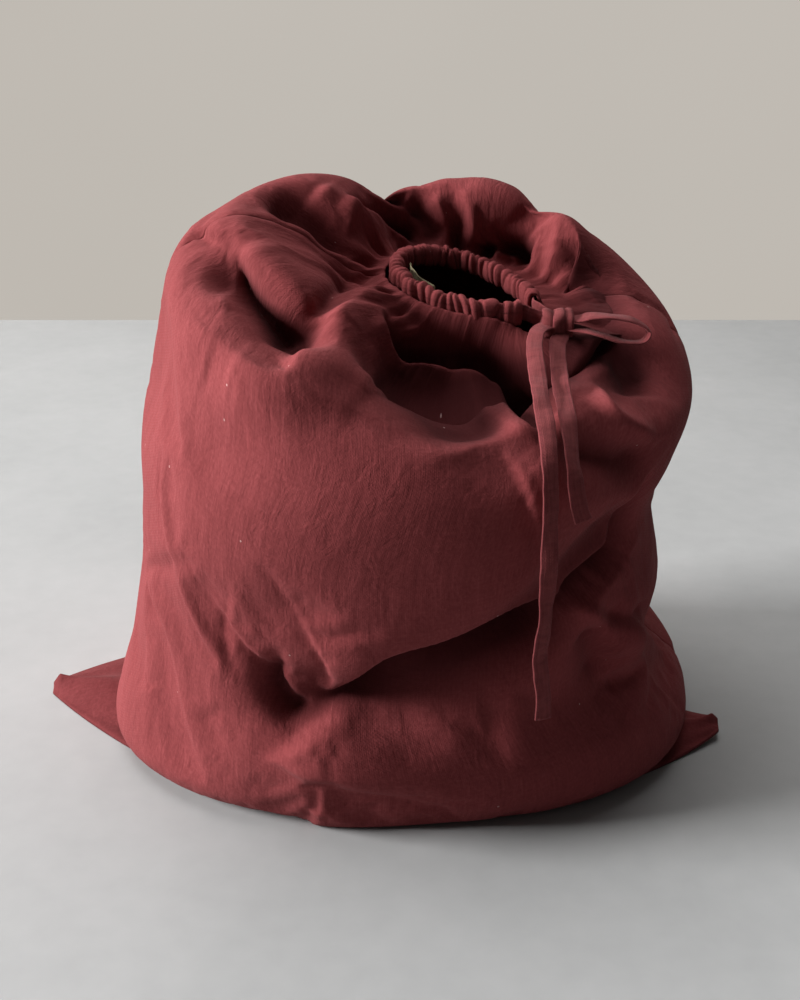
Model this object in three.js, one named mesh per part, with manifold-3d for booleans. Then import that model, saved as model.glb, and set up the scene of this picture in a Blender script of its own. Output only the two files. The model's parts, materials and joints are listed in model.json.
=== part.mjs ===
// A cloth drawstring bag, standing filled on the floor with its mouth drawn in and tied in a half bow.
// Millimetres, +Z up, +Y is the back of the bag and +X its right side. The bag is shaped about a point
// on the floor under its middle, and the finished group is moved so that the origin lies under the
// centre of its outline. The bag is two flat panels, sewn along both sides and the bottom. Its top edge
// is turned over into a casing that the drawstring gathers. The drawstring's ends leave the casing at
// the front right and are tied there.
import * as THREE from "three";
import { mergeVertices } from "three/addons/utils/BufferGeometryUtils.js";
import Module from "manifold-3d";

const wasm = await Module();
wasm.setup();

// The filled bag, outside
const BAG_WIDTH = 356;
const BAG_DEPTH = 276;
const BAG_HEIGHT = 326;

// The cloth and its seams. The side seams run from above the foot to under the crest, in section numbers.
const WALL = 2.4;
const SEAM_WIDTH = 9;
const SEAM_THICK = 1.6;
const SIDE_SEAM_FROM = 3.5;
const SIDE_SEAM_TO = 11;
const CLEARANCE = 0.3;

// The gathered mouth: the middle line of the casing is an ellipse drawn out to a tip where the string
// leaves it
const MOUTH_WIDTH = 64;
const MOUTH_DEPTH = 58;
const MOUTH_X = 30;
const MOUTH_Y = -3;
const MOUTH_DROP = 47;
const MOUTH_FALL_RIGHT = 7;
const MOUTH_FALL_FRONT = 6;
const TIP_ANGLE = -34;
const TIP_REACH = 18;
const TIP_SHARPNESS = 4;

// The casing: a flattened tube of cloth, gathered into pleats, with a slot for the string
const CASING_THICK = 13;
const CASING_TALL = 15.5;
const PLEATS = 26;
const PLEAT_DEPTH = 1.3;
const EXIT_OPENING = 34;
const SEAT_DIP = 15;

// The drawstring, a folded and stitched strip of the same cloth, and its knot
const STRING_WIDTH = 9;
const STRING_THICK = 2;
const KNOT_LENGTH = 20;
const KNOT_THICK = 17;
const KNOT_WRAPS = 3;
const KNOT_WRAP_DEPTH = 0.8;
const KNOT_FLAT_END = 0.3;
const KNOT_DROP = 5;

// Where the string bends out between the casing and the knot: degrees from the tip, and the share of the
// way out
const STRING_BEND = [
  [11, 0.02],
  [8, 0.14],
  [6, 0.32],
];

// The blank tape sewn under the casing, inside the mouth
const TAPE_LENGTH = 28;
const TAPE_DROP = 13;
const TAPE_THICK = 1;
const TAPE_ANGLE = 212;

// The bottom corners, where both panels run out past the filling and lie on the floor. Each reaches out
// past the side of the bag at its tip, and spreads from a front to a back corner, given as sideways and
// lengthways places.
const CORNER_THICK = 3.4;
const LEFT_CORNER = {
  side: -1,
  reach: 51,
  tipAt: 15,
  front: [-27, -87],
  back: [9, 67],
  ridge: 9,
  curl: 0,
};
const RIGHT_CORNER = {
  side: 1,
  reach: 23,
  tipAt: -25,
  front: [-50, -108],
  back: [-6, 22],
  ridge: 4,
  curl: 11,
};

// The free runs of the string, as hand-chosen middle points from the knot on, with the way that the
// strip's width lies there
const LONG_TAIL = [
  { at: [79.8, -41.5, 265.2], wide: [0.8, -0.6, 0] },
  { at: [75.9, -47.5, 264.6], wide: [0.86, -0.5, 0] },
  { at: [72.5, -56, 263], wide: [0.95, -0.3, 0] },
  { at: [71, -68, 259.5], wide: [1, -0.05, 0.1] },
  { at: [71, -85, 253.5], wide: [1, 0, 0.15] },
  { at: [71, -112, 247], wide: [1, 0, 0.1] },
  { at: [72, -128, 240.5], wide: [1, 0, 0] },
  { at: [72.6, -143, 230], wide: [1, 0, 0] },
  { at: [73.2, -150, 219], wide: [1, 0.05, 0] },
  { at: [73.6, -152.6, 199], wide: [1, 0.15, 0] },
  { at: [74, -153.4, 172], wide: [1, 0.1, 0] },
  { at: [73.3, -153.5, 144], wide: [1, -0.1, 0] },
  { at: [71.8, -153.2, 120.5], wide: [1, -0.15, 0] },
  { at: [74.5, -153, 97], wide: [1, 0, 0] },
  { at: [74.8, -153, 85], wide: [1, 0, 0] },
];
const SHORT_TAIL = [
  { at: [87.5, -41.5, 261.2], wide: [1, 0.1, 0] },
  { at: [86.8, -47.5, 259.9], wide: [1, 0.1, 0] },
  { at: [84.2, -58, 257.5], wide: [1, 0.1, 0] },
  { at: [83, -90, 248], wide: [1, 0, 0] },
  { at: [83.5, -118, 241.8], wide: [1, 0, 0] },
  { at: [84, -132, 234], wide: [1, 0, 0] },
  { at: [85, -143, 222], wide: [1, 0.1, 0] },
  { at: [88, -148, 205], wide: [1, 0.2, 0] },
  { at: [90.5, -149, 197], wide: [1, 0.2, 0] },
];
const BOW_LOOP = [
  { at: [90, -40, 267.2], wide: [0, 1, 0] },
  { at: [96.8, -41.5, 268.3], wide: [0, 1, 0] },
  { at: [104, -43, 270.3], wide: [0, 1, 0.1] },
  { at: [116, -44, 270], wide: [0, 1, 0.1] },
  { at: [128, -44, 267.5], wide: [0, 1, 0.05] },
  { at: [135, -44, 262], wide: [0, 1, 0] },
  { at: [131, -47, 257], wide: [0, 1, 0] },
  { at: [119, -50, 258.5], wide: [0, 1, 0] },
  { at: [107, -49, 262], wide: [0, 1, 0] },
  { at: [97.2, -44, 263.4], wide: [0, 1, 0] },
  { at: [90, -40.5, 263.8], wide: [0, 1, 0] },
];
const LONG_TAIL_STEPS = 36;
const SHORT_TAIL_STEPS = 20;
const BOW_LOOP_STEPS = 22;

// The shape of the filled bag, from the bottom seam to the mouth. Each section is a rounded outline
// given in shares of half the width, half the depth and the height, with its squareness, and the share
// of the height by which its right side falls, its front falls and its back rises.
const SECTIONS = [
  { up: 0, left: -0.83, right: 0.83, front: 0, back: 0, square: 2, tilt: [0, 0, 0] },
  { up: 0, left: -0.86, right: 0.86, front: -0.46, back: 0.46, square: 2.1, tilt: [0, 0, 0] },
  { up: 0, left: -0.92, right: 0.93, front: -0.88, back: 0.85, square: 2.3, tilt: [0, 0, 0] },
  { up: 0.035, left: -0.995, right: 1.0, front: -0.985, back: 0.98, square: 2.35, tilt: [0, 0, 0] },
  { up: 0.115, left: -0.97, right: 0.98, front: -1.0, back: 1.02, square: 2.35, tilt: [0, 0, 0] },
  { up: 0.23, left: -0.9, right: 0.83, front: -0.98, back: 1.02, square: 2.35, tilt: [0, 0, 0] },
  { up: 0.35, left: -0.865, right: 0.86, front: -1.02, back: 1.02, square: 2.3, tilt: [0, 0, 0] },
  { up: 0.5, left: -0.835, right: 0.82, front: -1.08, back: 1.02, square: 2.3, tilt: [0, 0, 0] },
  { up: 0.6, left: -0.825, right: 0.88, front: -1.09, back: 1.01, square: 2.25, tilt: [0, 0.01, 0] },
  { up: 0.69, left: -0.79, right: 0.925, front: -1.05, back: 0.98, square: 2.2, tilt: [0, 0.03, 0] },
  { up: 0.79, left: -0.745, right: 0.88, front: -0.96, back: 0.9, square: 2.2, tilt: [0.015, 0.07, 0] },
  { up: 0.862, left: -0.71, right: 0.8, front: -0.82, back: 0.76, square: 2.15, tilt: [0.028, 0.1, 0.01] },
  { up: 0.914, left: -0.61, right: 0.69, front: -0.66, back: 0.58, square: 2.1, tilt: [0.026, 0.12, 0.03] },
  { up: 0.948, left: -0.42, right: 0.57, front: -0.5, back: 0.4, square: 2, tilt: [0.028, 0.15, 0.04] },
];

// The main folds, each a line over the surface in degrees round (0 right, 90 back, 180 left, 270 front)
// and in section numbers up from the bottom seam, with its width and its height: above 0 a ridge, below
// 0 a hollow.
const FOLDS = [
  { line: [[246, 6.2], [256, 5.3], [268, 5.2], [284, 6.0], [300, 6.6], [318, 7.2]], width: 26, height: -16 },
  { line: [[206, 12.3], [222, 12.5], [242, 12.2]], width: 15, height: -17 },
  { line: [[258, 12.6], [275, 12.6], [295, 12.6]], width: 14, height: -9 },
  { line: [[296, 12.3], [316, 12.2], [335, 12.1]], width: 27, height: -35 },
  { line: [[308, 12.9], [324, 13.0], [342, 12.9]], width: 18, height: -13 },
  { line: [[104, 12.2], [110, 13.6]], width: 15, height: -11 },
  { line: [[318, 10.6], [336, 10.2]], width: 17, height: -9 },
  { line: [[70, 9], [84, 7.6], [96, 6.6]], width: 26, height: -10 },
];

// How finely each piece is divided
const STATION_STEP = 0.5;
const STEP_DEGREES = 5;
const CASING_SIDES = 10;
const CASING_STEPS_A_PLEAT = 3;
const STRAP_SIDES = 8;
const KNOT_SIDES = 14;
const KNOT_ROWS = 15;
const BALL_SIDES = 48;
const TAPE_STEPS = 6;
const CORNER_STEPS = 8;

// How square the rounded outlines are: 1 is an ellipse and 0 a rectangle
const STRAP_SQUARE = 0.3;
const CASING_SQUARE = 0.8;
const KNOT_SWELL_POWER = 4;

// The corner flaps' own shares: how blunt the tip is, how wide the fold is and how late the tip curls up
const CORNER_BLUNT = 0.04;
const CORNER_ROOT = 25;
const CORNER_FOLD_SHARE = 0.24;
const CORNER_CURL_POWER = 4;

// The panels' lowest sections, which the corner flaps are cut clear of, and the lowest that has its own
// normal
const CORNER_STATIONS = 6;
const FOOT_STATION = 0.5;

// Steps for measuring directions, points taken as one, slivers left by a cut, and folds too low to count
const NUDGE = 0.02;
const SAME_POINT = 0.001;
const SLIVER = 0.05;
const FLAT = 0.03;

const radians = (degrees) => (degrees * Math.PI) / 180;
const squared = (share, power) => Math.sign(share) * Math.abs(share) ** power;
const span = (from, to, steps) =>
  Array.from({ length: steps + 1 }, (_, i) => from + ((to - from) * i) / steps);

// 1 at the mouth's tip, and less and less away from it.
const tipShare = (angle) => ((1 + Math.cos(radians(angle - TIP_ANGLE))) / 2) ** TIP_SHARPNESS;

// The middle line of the casing, where angle runs round the mouth as it does round the bag.
function mouthLine(angle) {
  const c = Math.cos(radians(angle));
  const s = Math.sin(radians(angle));
  const tip = TIP_REACH * tipShare(angle);
  return new THREE.Vector3(
    MOUTH_X + (MOUTH_WIDTH / 2) * c + tip * Math.cos(radians(TIP_ANGLE)),
    MOUTH_Y + (MOUTH_DEPTH / 2) * s + tip * Math.sin(radians(TIP_ANGLE)),
    BAG_HEIGHT - MOUTH_DROP - MOUTH_FALL_RIGHT * c + MOUTH_FALL_FRONT * s,
  );
}

const UP = new THREE.Vector3(0, 0, 1);
const mouthOutward = (angle) => mouthLine(angle + NUDGE).sub(mouthLine(angle - NUDGE)).cross(UP).normalize();

// A point beside the middle line of the casing, so far out from the mouth and so far above the line.
function mouthPoint(angle, out = 0, lift = 0) {
  const point = mouthLine(angle).addScaledVector(mouthOutward(angle), out);
  point.z += lift;
  return point;
}

// One section's outline point: an ellipse made squarer, between its left, right, front and back limits.
function sectionPoint(section, angle) {
  const c = Math.cos(radians(angle));
  const s = Math.sin(radians(angle));
  const bulge = (share) => squared(share, 2 / section.square);
  const [rightFall, frontFall, backRise] = section.tilt;
  const frontToBack = ((backRise + frontFall) * s + (backRise - frontFall) * s * s) / 2;
  return new THREE.Vector3(
    (BAG_WIDTH / 4) * (section.right + section.left + (section.right - section.left) * bulge(c)),
    (BAG_DEPTH / 4) * (section.back + section.front + (section.back - section.front) * bulge(s)),
    BAG_HEIGHT * (section.up - rightFall * c + frontToBack),
  );
}

// The last section is the outer side of the casing, where both panels end. At the tip it dips under the
// knot.
const SEAT_OUT = CASING_THICK / 2 + PLEAT_DEPTH + CLEARANCE;
const LAST = SECTIONS.length;
const seatPoint = (angle) => mouthPoint(angle, SEAT_OUT, -SEAT_DIP * tipShare(angle) ** 2);
const stationPoint = (station, angle) =>
  station < LAST ? sectionPoint(SECTIONS[station], angle) : seatPoint(angle);

// A smooth run through four points in a row, between the middle two.
function smooth(p0, p1, p2, p3, t) {
  const at = (k) => {
    const [a, b, c, d] = [p0[k], p1[k], p2[k], p3[k]];
    return b + (t * (c - a + t * (2 * a - 5 * b + 4 * c - d + t * (3 * (b - c) + d - a)))) / 2;
  };
  return new THREE.Vector3(at("x"), at("y"), at("z"));
}

// The bag's outside without its folds.
function plainPoint(angle, station) {
  const k = Math.min(LAST - 1, Math.max(0, Math.floor(station)));
  const ends = [k - 1, k, k + 1, k + 2].map((n) => stationPoint(Math.min(LAST, Math.max(0, n)), angle));
  const point = smooth(...ends, station - k);
  point.z = Math.max(0, point.z);
  return point;
}

// The outward normal of a surface given as a function of angle and station, and its direction round the
// bag.
function frameOf(surface, angle, station) {
  const at = Math.max(FOOT_STATION, station);
  const upTo = Math.min(LAST, at + NUDGE);
  const along = surface(angle, upTo).sub(surface(angle, upTo - 2 * NUDGE));
  const normal = surface(angle + NUDGE, at).sub(surface(angle - NUDGE, at)).cross(along).normalize();
  return { normal, round: along.cross(normal).normalize() };
}

const foldLines = FOLDS.map((fold) => ({
  ...fold,
  points: fold.line.map(([angle, station]) => plainPoint(angle, station)),
}));

function distanceToLine(point, points) {
  const nearest = new THREE.Vector3();
  let best = Infinity;
  for (let i = 0; i + 1 < points.length; i++) {
    new THREE.Line3(points[i], points[i + 1]).closestPointToPoint(point, true, nearest);
    best = Math.min(best, nearest.distanceTo(point));
  }
  return best;
}

// The bag's outside: the plain shape with its folds raised and pressed in along the normal.
function bagPoint(angle, station) {
  const point = plainPoint(angle, station);
  let height = 0;
  for (const fold of foldLines) {
    height += fold.height * Math.exp(-((distanceToLine(point, fold.points) / fold.width) ** 2));
  }
  if (Math.abs(height) > FLAT) point.addScaledVector(frameOf(plainPoint, angle, station).normal, height);
  point.z = Math.max(0, point.z);
  return point;
}

// The bag's surface at a depth under its outside, or above it where the depth is below 0.
const underBag = (angle, station, depth) =>
  bagPoint(angle, station).addScaledVector(frameOf(plainPoint, angle, station).normal, -depth);

function geometryOf(quads) {
  const positions = [];
  for (const [a, b, c, d] of quads) {
    for (const p of d ? [a, b, c, a, c, d] : [a, b, c]) positions.push(p.x, p.y, p.z);
  }
  return new THREE.BufferGeometry().setAttribute("position", new THREE.Float32BufferAttribute(positions, 3));
}

// A closed solid between two grids of points with the same rows and columns. A looped one runs all
// round. A quad for which turned(row, column) holds is split along its other diagonal.
function solidBetween(outer, inner, { looped = false, turned = () => false } = {}) {
  const rows = outer.length;
  const columns = outer[0].length;
  const quads = [];
  const end = columns - (looped ? 0 : 1);
  const next = (j) => (j + 1) % columns;
  const last = rows - 1;
  for (let i = 0; i < last; i++) {
    for (let j = 0; j < end; j++) {
      const over = [outer[i][j], outer[i][next(j)], outer[i + 1][next(j)], outer[i + 1][j]];
      const under = [inner[i][j], inner[i + 1][j], inner[i + 1][next(j)], inner[i][next(j)]];
      for (const quad of [over, under]) quads.push(turned(i, j) ? [...quad.slice(1), quad[0]] : quad);
    }
    if (looped) continue;
    quads.push([outer[i][0], outer[i + 1][0], inner[i + 1][0], inner[i][0]]);
    quads.push([outer[i][end], inner[i][end], inner[i + 1][end], outer[i + 1][end]]);
  }
  for (let j = 0; j < end; j++) {
    quads.push([outer[0][next(j)], outer[0][j], inner[0][j], inner[0][next(j)]]);
    quads.push([outer[last][j], outer[last][next(j)], inner[last][next(j)], inner[last][j]]);
  }
  return geometryOf(quads);
}

// A closed solid through a row of rings of points, which turn to the left as seen looking back along the
// row. A looped one's last ring runs on into its first.
function loft(rings, looped = false) {
  const quads = [];
  const count = rings[0].length;
  const last = rings.length - 1;
  for (let i = 0; i < last + (looped ? 1 : 0); i++) {
    const ahead = rings[(i + 1) % rings.length];
    for (let j = 0; j < count; j++) {
      const k = (j + 1) % count;
      quads.push([rings[i][j], rings[i][k], ahead[k], ahead[j]]);
    }
  }
  for (let j = 1; j + 1 < count && !looped; j++) {
    quads.push([rings[0][0], rings[0][j + 1], rings[0][j]]);
    quads.push([rings[last][0], rings[last][j], rings[last][j + 1]]);
  }
  return geometryOf(quads);
}

// A flat strap with rounded edges along a smooth run of points, each with the direction of the strap's
// width.
function strap(route, steps) {
  const curve = (key) => new THREE.CatmullRomCurve3(route.map((stop) => new THREE.Vector3(...stop[key])));
  const line = curve("at");
  const wide = curve("wide");
  const rings = span(0, 1, steps).map((t) => {
    const along = line.getTangent(t);
    const across = wide.getPoint(t);
    across.addScaledVector(along, -across.dot(along)).normalize();
    const through = along.clone().cross(across);
    return span(0, 2 * Math.PI, STRAP_SIDES)
      .slice(0, STRAP_SIDES)
      .map((turn) => {
        const corner = turn + Math.PI / STRAP_SIDES;
        return line
          .getPoint(t)
          .addScaledVector(across, (squared(Math.cos(corner), STRAP_SQUARE) * STRING_WIDTH) / 2)
          .addScaledVector(through, (squared(Math.sin(corner), STRAP_SQUARE) * STRING_THICK) / 2);
      });
  });
  return loft(rings);
}

// The same solid as manifold-3d holds it.
function toManifold(geometry) {
  const merged = mergeVertices(geometry, SAME_POINT);
  return new wasm.Manifold(
    new wasm.Mesh({
      numProp: 3,
      vertProperties: merged.attributes.position.array,
      triVerts: new Uint32Array(merged.index.array),
    }),
  );
}

// What is left of a solid outside another, with the slivers along the cut smoothed away.
function cutClear(geometry, room) {
  const mesh = toManifold(geometry).subtract(room).asOriginal().simplify(SLIVER).getMesh();
  const cut = new THREE.BufferGeometry();
  cut.setAttribute("position", new THREE.Float32BufferAttribute(mesh.vertProperties, 3));
  cut.setIndex(new THREE.Uint32BufferAttribute(mesh.triVerts, 1));
  return cut;
}

const linen = new THREE.MeshStandardMaterial({ color: 0x8c3a40, roughness: 0.92, metalness: 0 });
const linenTape = new THREE.MeshStandardMaterial({ color: 0x7c333b, roughness: 0.92, metalness: 0 });
const beigeTape = new THREE.MeshStandardMaterial({ color: 0xb9ad88, roughness: 0.9, metalness: 0 });

const bag = new THREE.Group();

function add(name, geometry, material) {
  const mesh = new THREE.Mesh(geometry, material);
  mesh.name = name;
  bag.add(mesh);
  return mesh;
}

// The casing is a pleated tube round the mouth, open at the tip where both ends of the string come out.
const BORE_ROOM = 4 * CLEARANCE;
const BORE_TALL = STRING_WIDTH + BORE_ROOM;
const BORE_THICK = STRING_THICK + BORE_ROOM;
function casingRing(angle, thick, tall, square, pleated) {
  const pleat = pleated ? PLEAT_DEPTH * Math.cos(radians(PLEATS * (angle - TIP_ANGLE))) : 0;
  return span(0, 2 * Math.PI, CASING_SIDES)
    .slice(0, CASING_SIDES)
    .map((turn) => {
      const corner = turn + Math.PI / CASING_SIDES;
      const out = squared(Math.cos(corner), square) * (thick / 2 + pleat);
      return mouthPoint(angle, out, -squared(Math.sin(corner), square) * (tall / 2 + pleat));
    });
}
const aroundMouth = span(TIP_ANGLE, TIP_ANGLE + 360, PLEATS * CASING_STEPS_A_PLEAT);
const casingAngles = aroundMouth.filter(
  (angle) => Math.abs(angle - TIP_ANGLE - 180) <= 180 - EXIT_OPENING / 2,
);
const casingSkin = (angle) => casingRing(angle, CASING_THICK, CASING_TALL, CASING_SQUARE, true);
const casingBore = (angle) => casingRing(angle, BORE_THICK, BORE_TALL, STRAP_SQUARE, false);
const casingSolid = solidBetween(casingAngles.map(casingSkin), casingAngles.map(casingBore), { looped: true });
add("casing", casingSolid, linen);

// The panels are kept clear of this ring all round the mouth.
const ROOM = 2 * (PLEAT_DEPTH + CLEARANCE);
const roomRing = (angle) => casingRing(angle, CASING_THICK + ROOM, CASING_TALL + ROOM, CASING_SQUARE, false);
const casingRoom = toManifold(loft(aroundMouth.slice(1).map(roomRing), true));

// The two panels meet along the side seams and along the bottom seam under the bag, and end at the
// casing. Each of their quads is split along the diagonal that lies nearer to the true surface, so that
// folds run smooth.
function panel(fromAngle, side) {
  const stations = span(0, LAST, Math.round(LAST / STATION_STEP));
  const angles = span(fromAngle, fromAngle + 180, Math.round(180 / STEP_DEGREES));
  const grid = (depth) =>
    stations.map((station, i) =>
      angles.map((angle, j) => {
        const point = underBag(angle, station, depth);
        const inward = j === 0 ? 1 : j === angles.length - 1 ? -1 : 0;
        point.addScaledVector(frameOf(plainPoint, angle, station).round, (inward * CLEARANCE) / 2);
        if (i === 0) point.y += (side * CLEARANCE) / 2;
        point.z = Math.max(0, point.z);
        return point;
      }),
    );
  const outer = grid(0);
  const missBy = (point, a, b) => a.clone().add(b).divideScalar(2).distanceTo(point);
  const turned = (i, j) => {
    const onBag = bagPoint((angles[j] + angles[j + 1]) / 2, (stations[i] + stations[i + 1]) / 2);
    return missBy(onBag, outer[i][j + 1], outer[i + 1][j]) < missBy(onBag, outer[i][j], outer[i + 1][j + 1]);
  };
  return cutClear(solidBetween(outer, grid(WALL), { turned }), casingRoom);
}
add("back_panel", panel(0, 1), linen);
add("front_panel", panel(180, -1), linen);

// The side seams stand in from the panels.
function sideSeam(angle) {
  const steps = Math.round((SIDE_SEAM_TO - SIDE_SEAM_FROM) / STATION_STEP);
  const rings = span(SIDE_SEAM_FROM, SIDE_SEAM_TO, steps).map((station) => {
    const corner = (depth, side) => {
      const point = underBag(angle, station, WALL + CLEARANCE + depth);
      point.y += (side * SEAM_THICK) / 2;
      return point;
    };
    const ring = [corner(0, -1), corner(0, 1), corner(SEAM_WIDTH, 1), corner(SEAM_WIDTH, -1)];
    return angle === 0 ? ring : ring.reverse();
  });
  return loft(rings);
}
add("left_side_seam", sideSeam(180), linen);
add("right_side_seam", sideSeam(0), linen);

// The bottom seam lies over the line where the panels meet.
const seamLength = (BAG_WIDTH / 2) * (SECTIONS[0].right - SECTIONS[0].left) - 2 * SEAM_WIDTH;
const bottomSeam = add("bottom_seam", new THREE.BoxGeometry(seamLength, SEAM_WIDTH, SEAM_THICK), linen);
bottomSeam.position.set(0, 0, WALL + CLEARANCE + SEAM_THICK / 2);

// The knot sits just outside the casing's tip, its wraps running round the string. What runs into it
// ends just clear of it.
const tipOut = new THREE.Vector3(Math.cos(radians(TIP_ANGLE)), Math.sin(radians(TIP_ANGLE)), 0);
const KNOT_OUT = CASING_THICK / 2 + PLEAT_DEPTH + CLEARANCE + KNOT_THICK / 2;
const knotAt = mouthLine(TIP_ANGLE).addScaledVector(tipOut, KNOT_OUT);
knotAt.z -= KNOT_DROP;
function knotSolid(room) {
  const rings = span(-1, 1, KNOT_ROWS).map((share) => {
    const swell = Math.sqrt(Math.max(KNOT_FLAT_END, 1 - share ** KNOT_SWELL_POWER));
    const wrap = KNOT_WRAP_DEPTH * Math.cos(Math.PI * KNOT_WRAPS * share);
    const radius = (KNOT_THICK / 2) * swell - KNOT_WRAP_DEPTH + wrap + room;
    const along = (KNOT_LENGTH / 2 + room) * share;
    return span(0, 2 * Math.PI, KNOT_SIDES)
      .slice(0, KNOT_SIDES)
      .map((turn) => new THREE.Vector3(along, radius * Math.cos(turn), radius * Math.sin(turn)).add(knotAt));
  });
  return loft(rings);
}
const knotRoom = toManifold(knotSolid(CLEARANCE));
const clearOfKnot = (geometry) => cutClear(geometry, knotRoom);
const knot = add("knot", knotSolid(0), linenTape);
add("tail_long", clearOfKnot(strap(LONG_TAIL, LONG_TAIL_STEPS)), linenTape);
add("tail_short", clearOfKnot(strap(SHORT_TAIL, SHORT_TAIL_STEPS)), linenTape);

// The loop turns up about the knot's middle, so its ends are cut to a ball that the whole knot fits in.
knot.geometry.computeBoundingSphere();
const loopRoom = wasm.Manifold.sphere(knot.geometry.boundingSphere.radius + CLEARANCE, BALL_SIDES);
const loop = cutClear(strap(BOW_LOOP, BOW_LOOP_STEPS), loopRoom.translate(knotAt.toArray()));
add("bow_loop", loop, linenTape);

// The string lies in the casing's slot. At the exit both its ends bend out and run into the knot.
const stringStop = (point) => ({ at: point.toArray(), wide: UP.toArray() });
const stringEnd = (side) =>
  STRING_BEND.map(([angle, out]) =>
    stringStop(mouthPoint(TIP_ANGLE + side * angle, out * KNOT_OUT, -out * KNOT_DROP)),
  );
const inCasing = casingAngles.map((angle) => stringStop(mouthLine(angle)));
const stringRoute = [...stringEnd(1).reverse(), ...inCasing, ...stringEnd(-1)];
const stringStrap = strap([stringStop(knotAt), ...stringRoute, stringStop(knotAt)], stringRoute.length + 1);
add("drawstring_in_casing", clearOfKnot(stringStrap), linenTape);

// The tape follows the inside of the casing and hangs below it.
function tapeSolid() {
  const near = -CASING_THICK / 2 - PLEAT_DEPTH - CLEARANCE;
  const radius = (MOUTH_WIDTH + MOUTH_DEPTH) / 4 + near;
  const half = ((TAPE_LENGTH / 2 / radius) * 180) / Math.PI;
  const rings = span(TAPE_ANGLE - half, TAPE_ANGLE + half, TAPE_STEPS).map((angle) => [
    mouthPoint(angle, near, 0),
    mouthPoint(angle, near, -TAPE_DROP),
    mouthPoint(angle, near - TAPE_THICK, -TAPE_DROP),
    mouthPoint(angle, near - TAPE_THICK, 0),
  ]);
  return loft(rings);
}
add("inner_tape", tapeSolid(), beigeTape);

// A corner of the bag: a flat flap with a fold along its middle, cut clear of the filled bag.
const bagAngles = span(0, 360, Math.round(360 / STEP_DEGREES)).slice(1);
const bagRings = span(1, CORNER_STATIONS, Math.round((CORNER_STATIONS - 1) / STATION_STEP)).map((station) =>
  bagAngles.map((angle) => underBag(angle, station, -CLEARANCE)),
);
const bagRoom = toManifold(loft(bagRings));
function cornerFlap({ side, reach, tipAt, front, back, ridge, curl }) {
  const place = ([out, y]) => new THREE.Vector3(side * (BAG_WIDTH / 2 + out), y, 0);
  const [tip, frontEnd, backEnd] = [place([reach, tipAt]), place(front), place(back)];
  const inside = new THREE.Vector3(-side * CORNER_ROOT, 0, 0);
  const rows = span(0, 1 - CORNER_BLUNT, CORNER_STEPS);
  const across = side < 0 ? span(0, 1, CORNER_STEPS) : span(1, 0, CORNER_STEPS);
  const grid = (thick) =>
    rows.map((u) =>
      across.map((v) => {
        const base = frontEnd.clone().lerp(backEnd, v).addScaledVector(inside, 1 - u);
        const point = base.lerp(tip, u);
        const fold = Math.exp(-(((v - 0.5) / CORNER_FOLD_SHARE) ** 2));
        point.z = curl * u ** CORNER_CURL_POWER + thick * (1 + (ridge / CORNER_THICK) * fold);
        return point;
      }),
    );
  return cutClear(solidBetween(grid(CORNER_THICK), grid(0)), bagRoom);
}
add("left_corner", cornerFlap(LEFT_CORNER), linen);
add("right_corner", cornerFlap(RIGHT_CORNER), linen);

// The origin goes under the middle of the bag's outline, the free runs of the string left out.
const freeRuns = ["tail_long", "tail_short", "bow_loop"];
const outline = new THREE.Box3();
for (const mesh of bag.children) {
  if (!freeRuns.includes(mesh.name)) outline.expandByObject(mesh);
}
const middle = outline.getCenter(new THREE.Vector3());
bag.position.set(-middle.x, -middle.y, 0);

export default bag;
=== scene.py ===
# %% [markdown]
# # A linen drawstring bag, filled and tied
#
# The bag is two flat panels of washed linen, sewn along both sides and the bottom. Its top edge is turned
# over into a casing, a folded strip of the same linen runs through that, and pulling it gathers the mouth.
# Filled with soft things, the flat bag stands up as a sagging, dented block whose bottom corners lie out on
# the floor.
#
# The lesson works from the strip to the cloth: camera, strips, the panels' shape, their folds, the casing and
# knot, the corners, and then the finishes. Everything is in metres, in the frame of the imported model.

import json
import math

import bpy
import numpy as np
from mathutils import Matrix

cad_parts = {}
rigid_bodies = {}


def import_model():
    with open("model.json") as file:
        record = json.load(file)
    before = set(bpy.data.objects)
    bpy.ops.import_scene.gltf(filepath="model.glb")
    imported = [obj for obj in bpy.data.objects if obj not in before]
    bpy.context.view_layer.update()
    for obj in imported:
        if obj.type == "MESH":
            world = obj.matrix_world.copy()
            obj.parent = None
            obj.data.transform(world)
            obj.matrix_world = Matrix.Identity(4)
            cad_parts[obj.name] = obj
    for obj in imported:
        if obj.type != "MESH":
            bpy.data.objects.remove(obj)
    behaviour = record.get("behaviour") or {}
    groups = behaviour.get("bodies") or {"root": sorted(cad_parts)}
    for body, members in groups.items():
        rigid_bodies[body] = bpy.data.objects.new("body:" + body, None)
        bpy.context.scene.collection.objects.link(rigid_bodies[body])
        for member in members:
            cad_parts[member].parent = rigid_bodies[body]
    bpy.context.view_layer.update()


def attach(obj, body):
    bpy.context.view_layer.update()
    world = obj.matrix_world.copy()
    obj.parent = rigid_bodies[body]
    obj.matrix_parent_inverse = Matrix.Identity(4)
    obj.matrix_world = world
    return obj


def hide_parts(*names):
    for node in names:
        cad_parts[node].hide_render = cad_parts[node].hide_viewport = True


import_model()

# %% [markdown]
# ## Camera and light
#
# The photograph looks down at the bag from a little over its own height, from three quarters of a metre. A
# wide soft window stands low on the left and does nearly all the work: the cloth's left flanks are bright,
# its right flanks go almost black. A dim wide light from above stands for the ceiling.

# %%
# The lens in millimetres, the camera's place, and its degrees up from looking straight down.
LENS = 50
CAMERA_AT = (0.01374, -0.7653, 0.485)
CAMERA_TILT = 66
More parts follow.
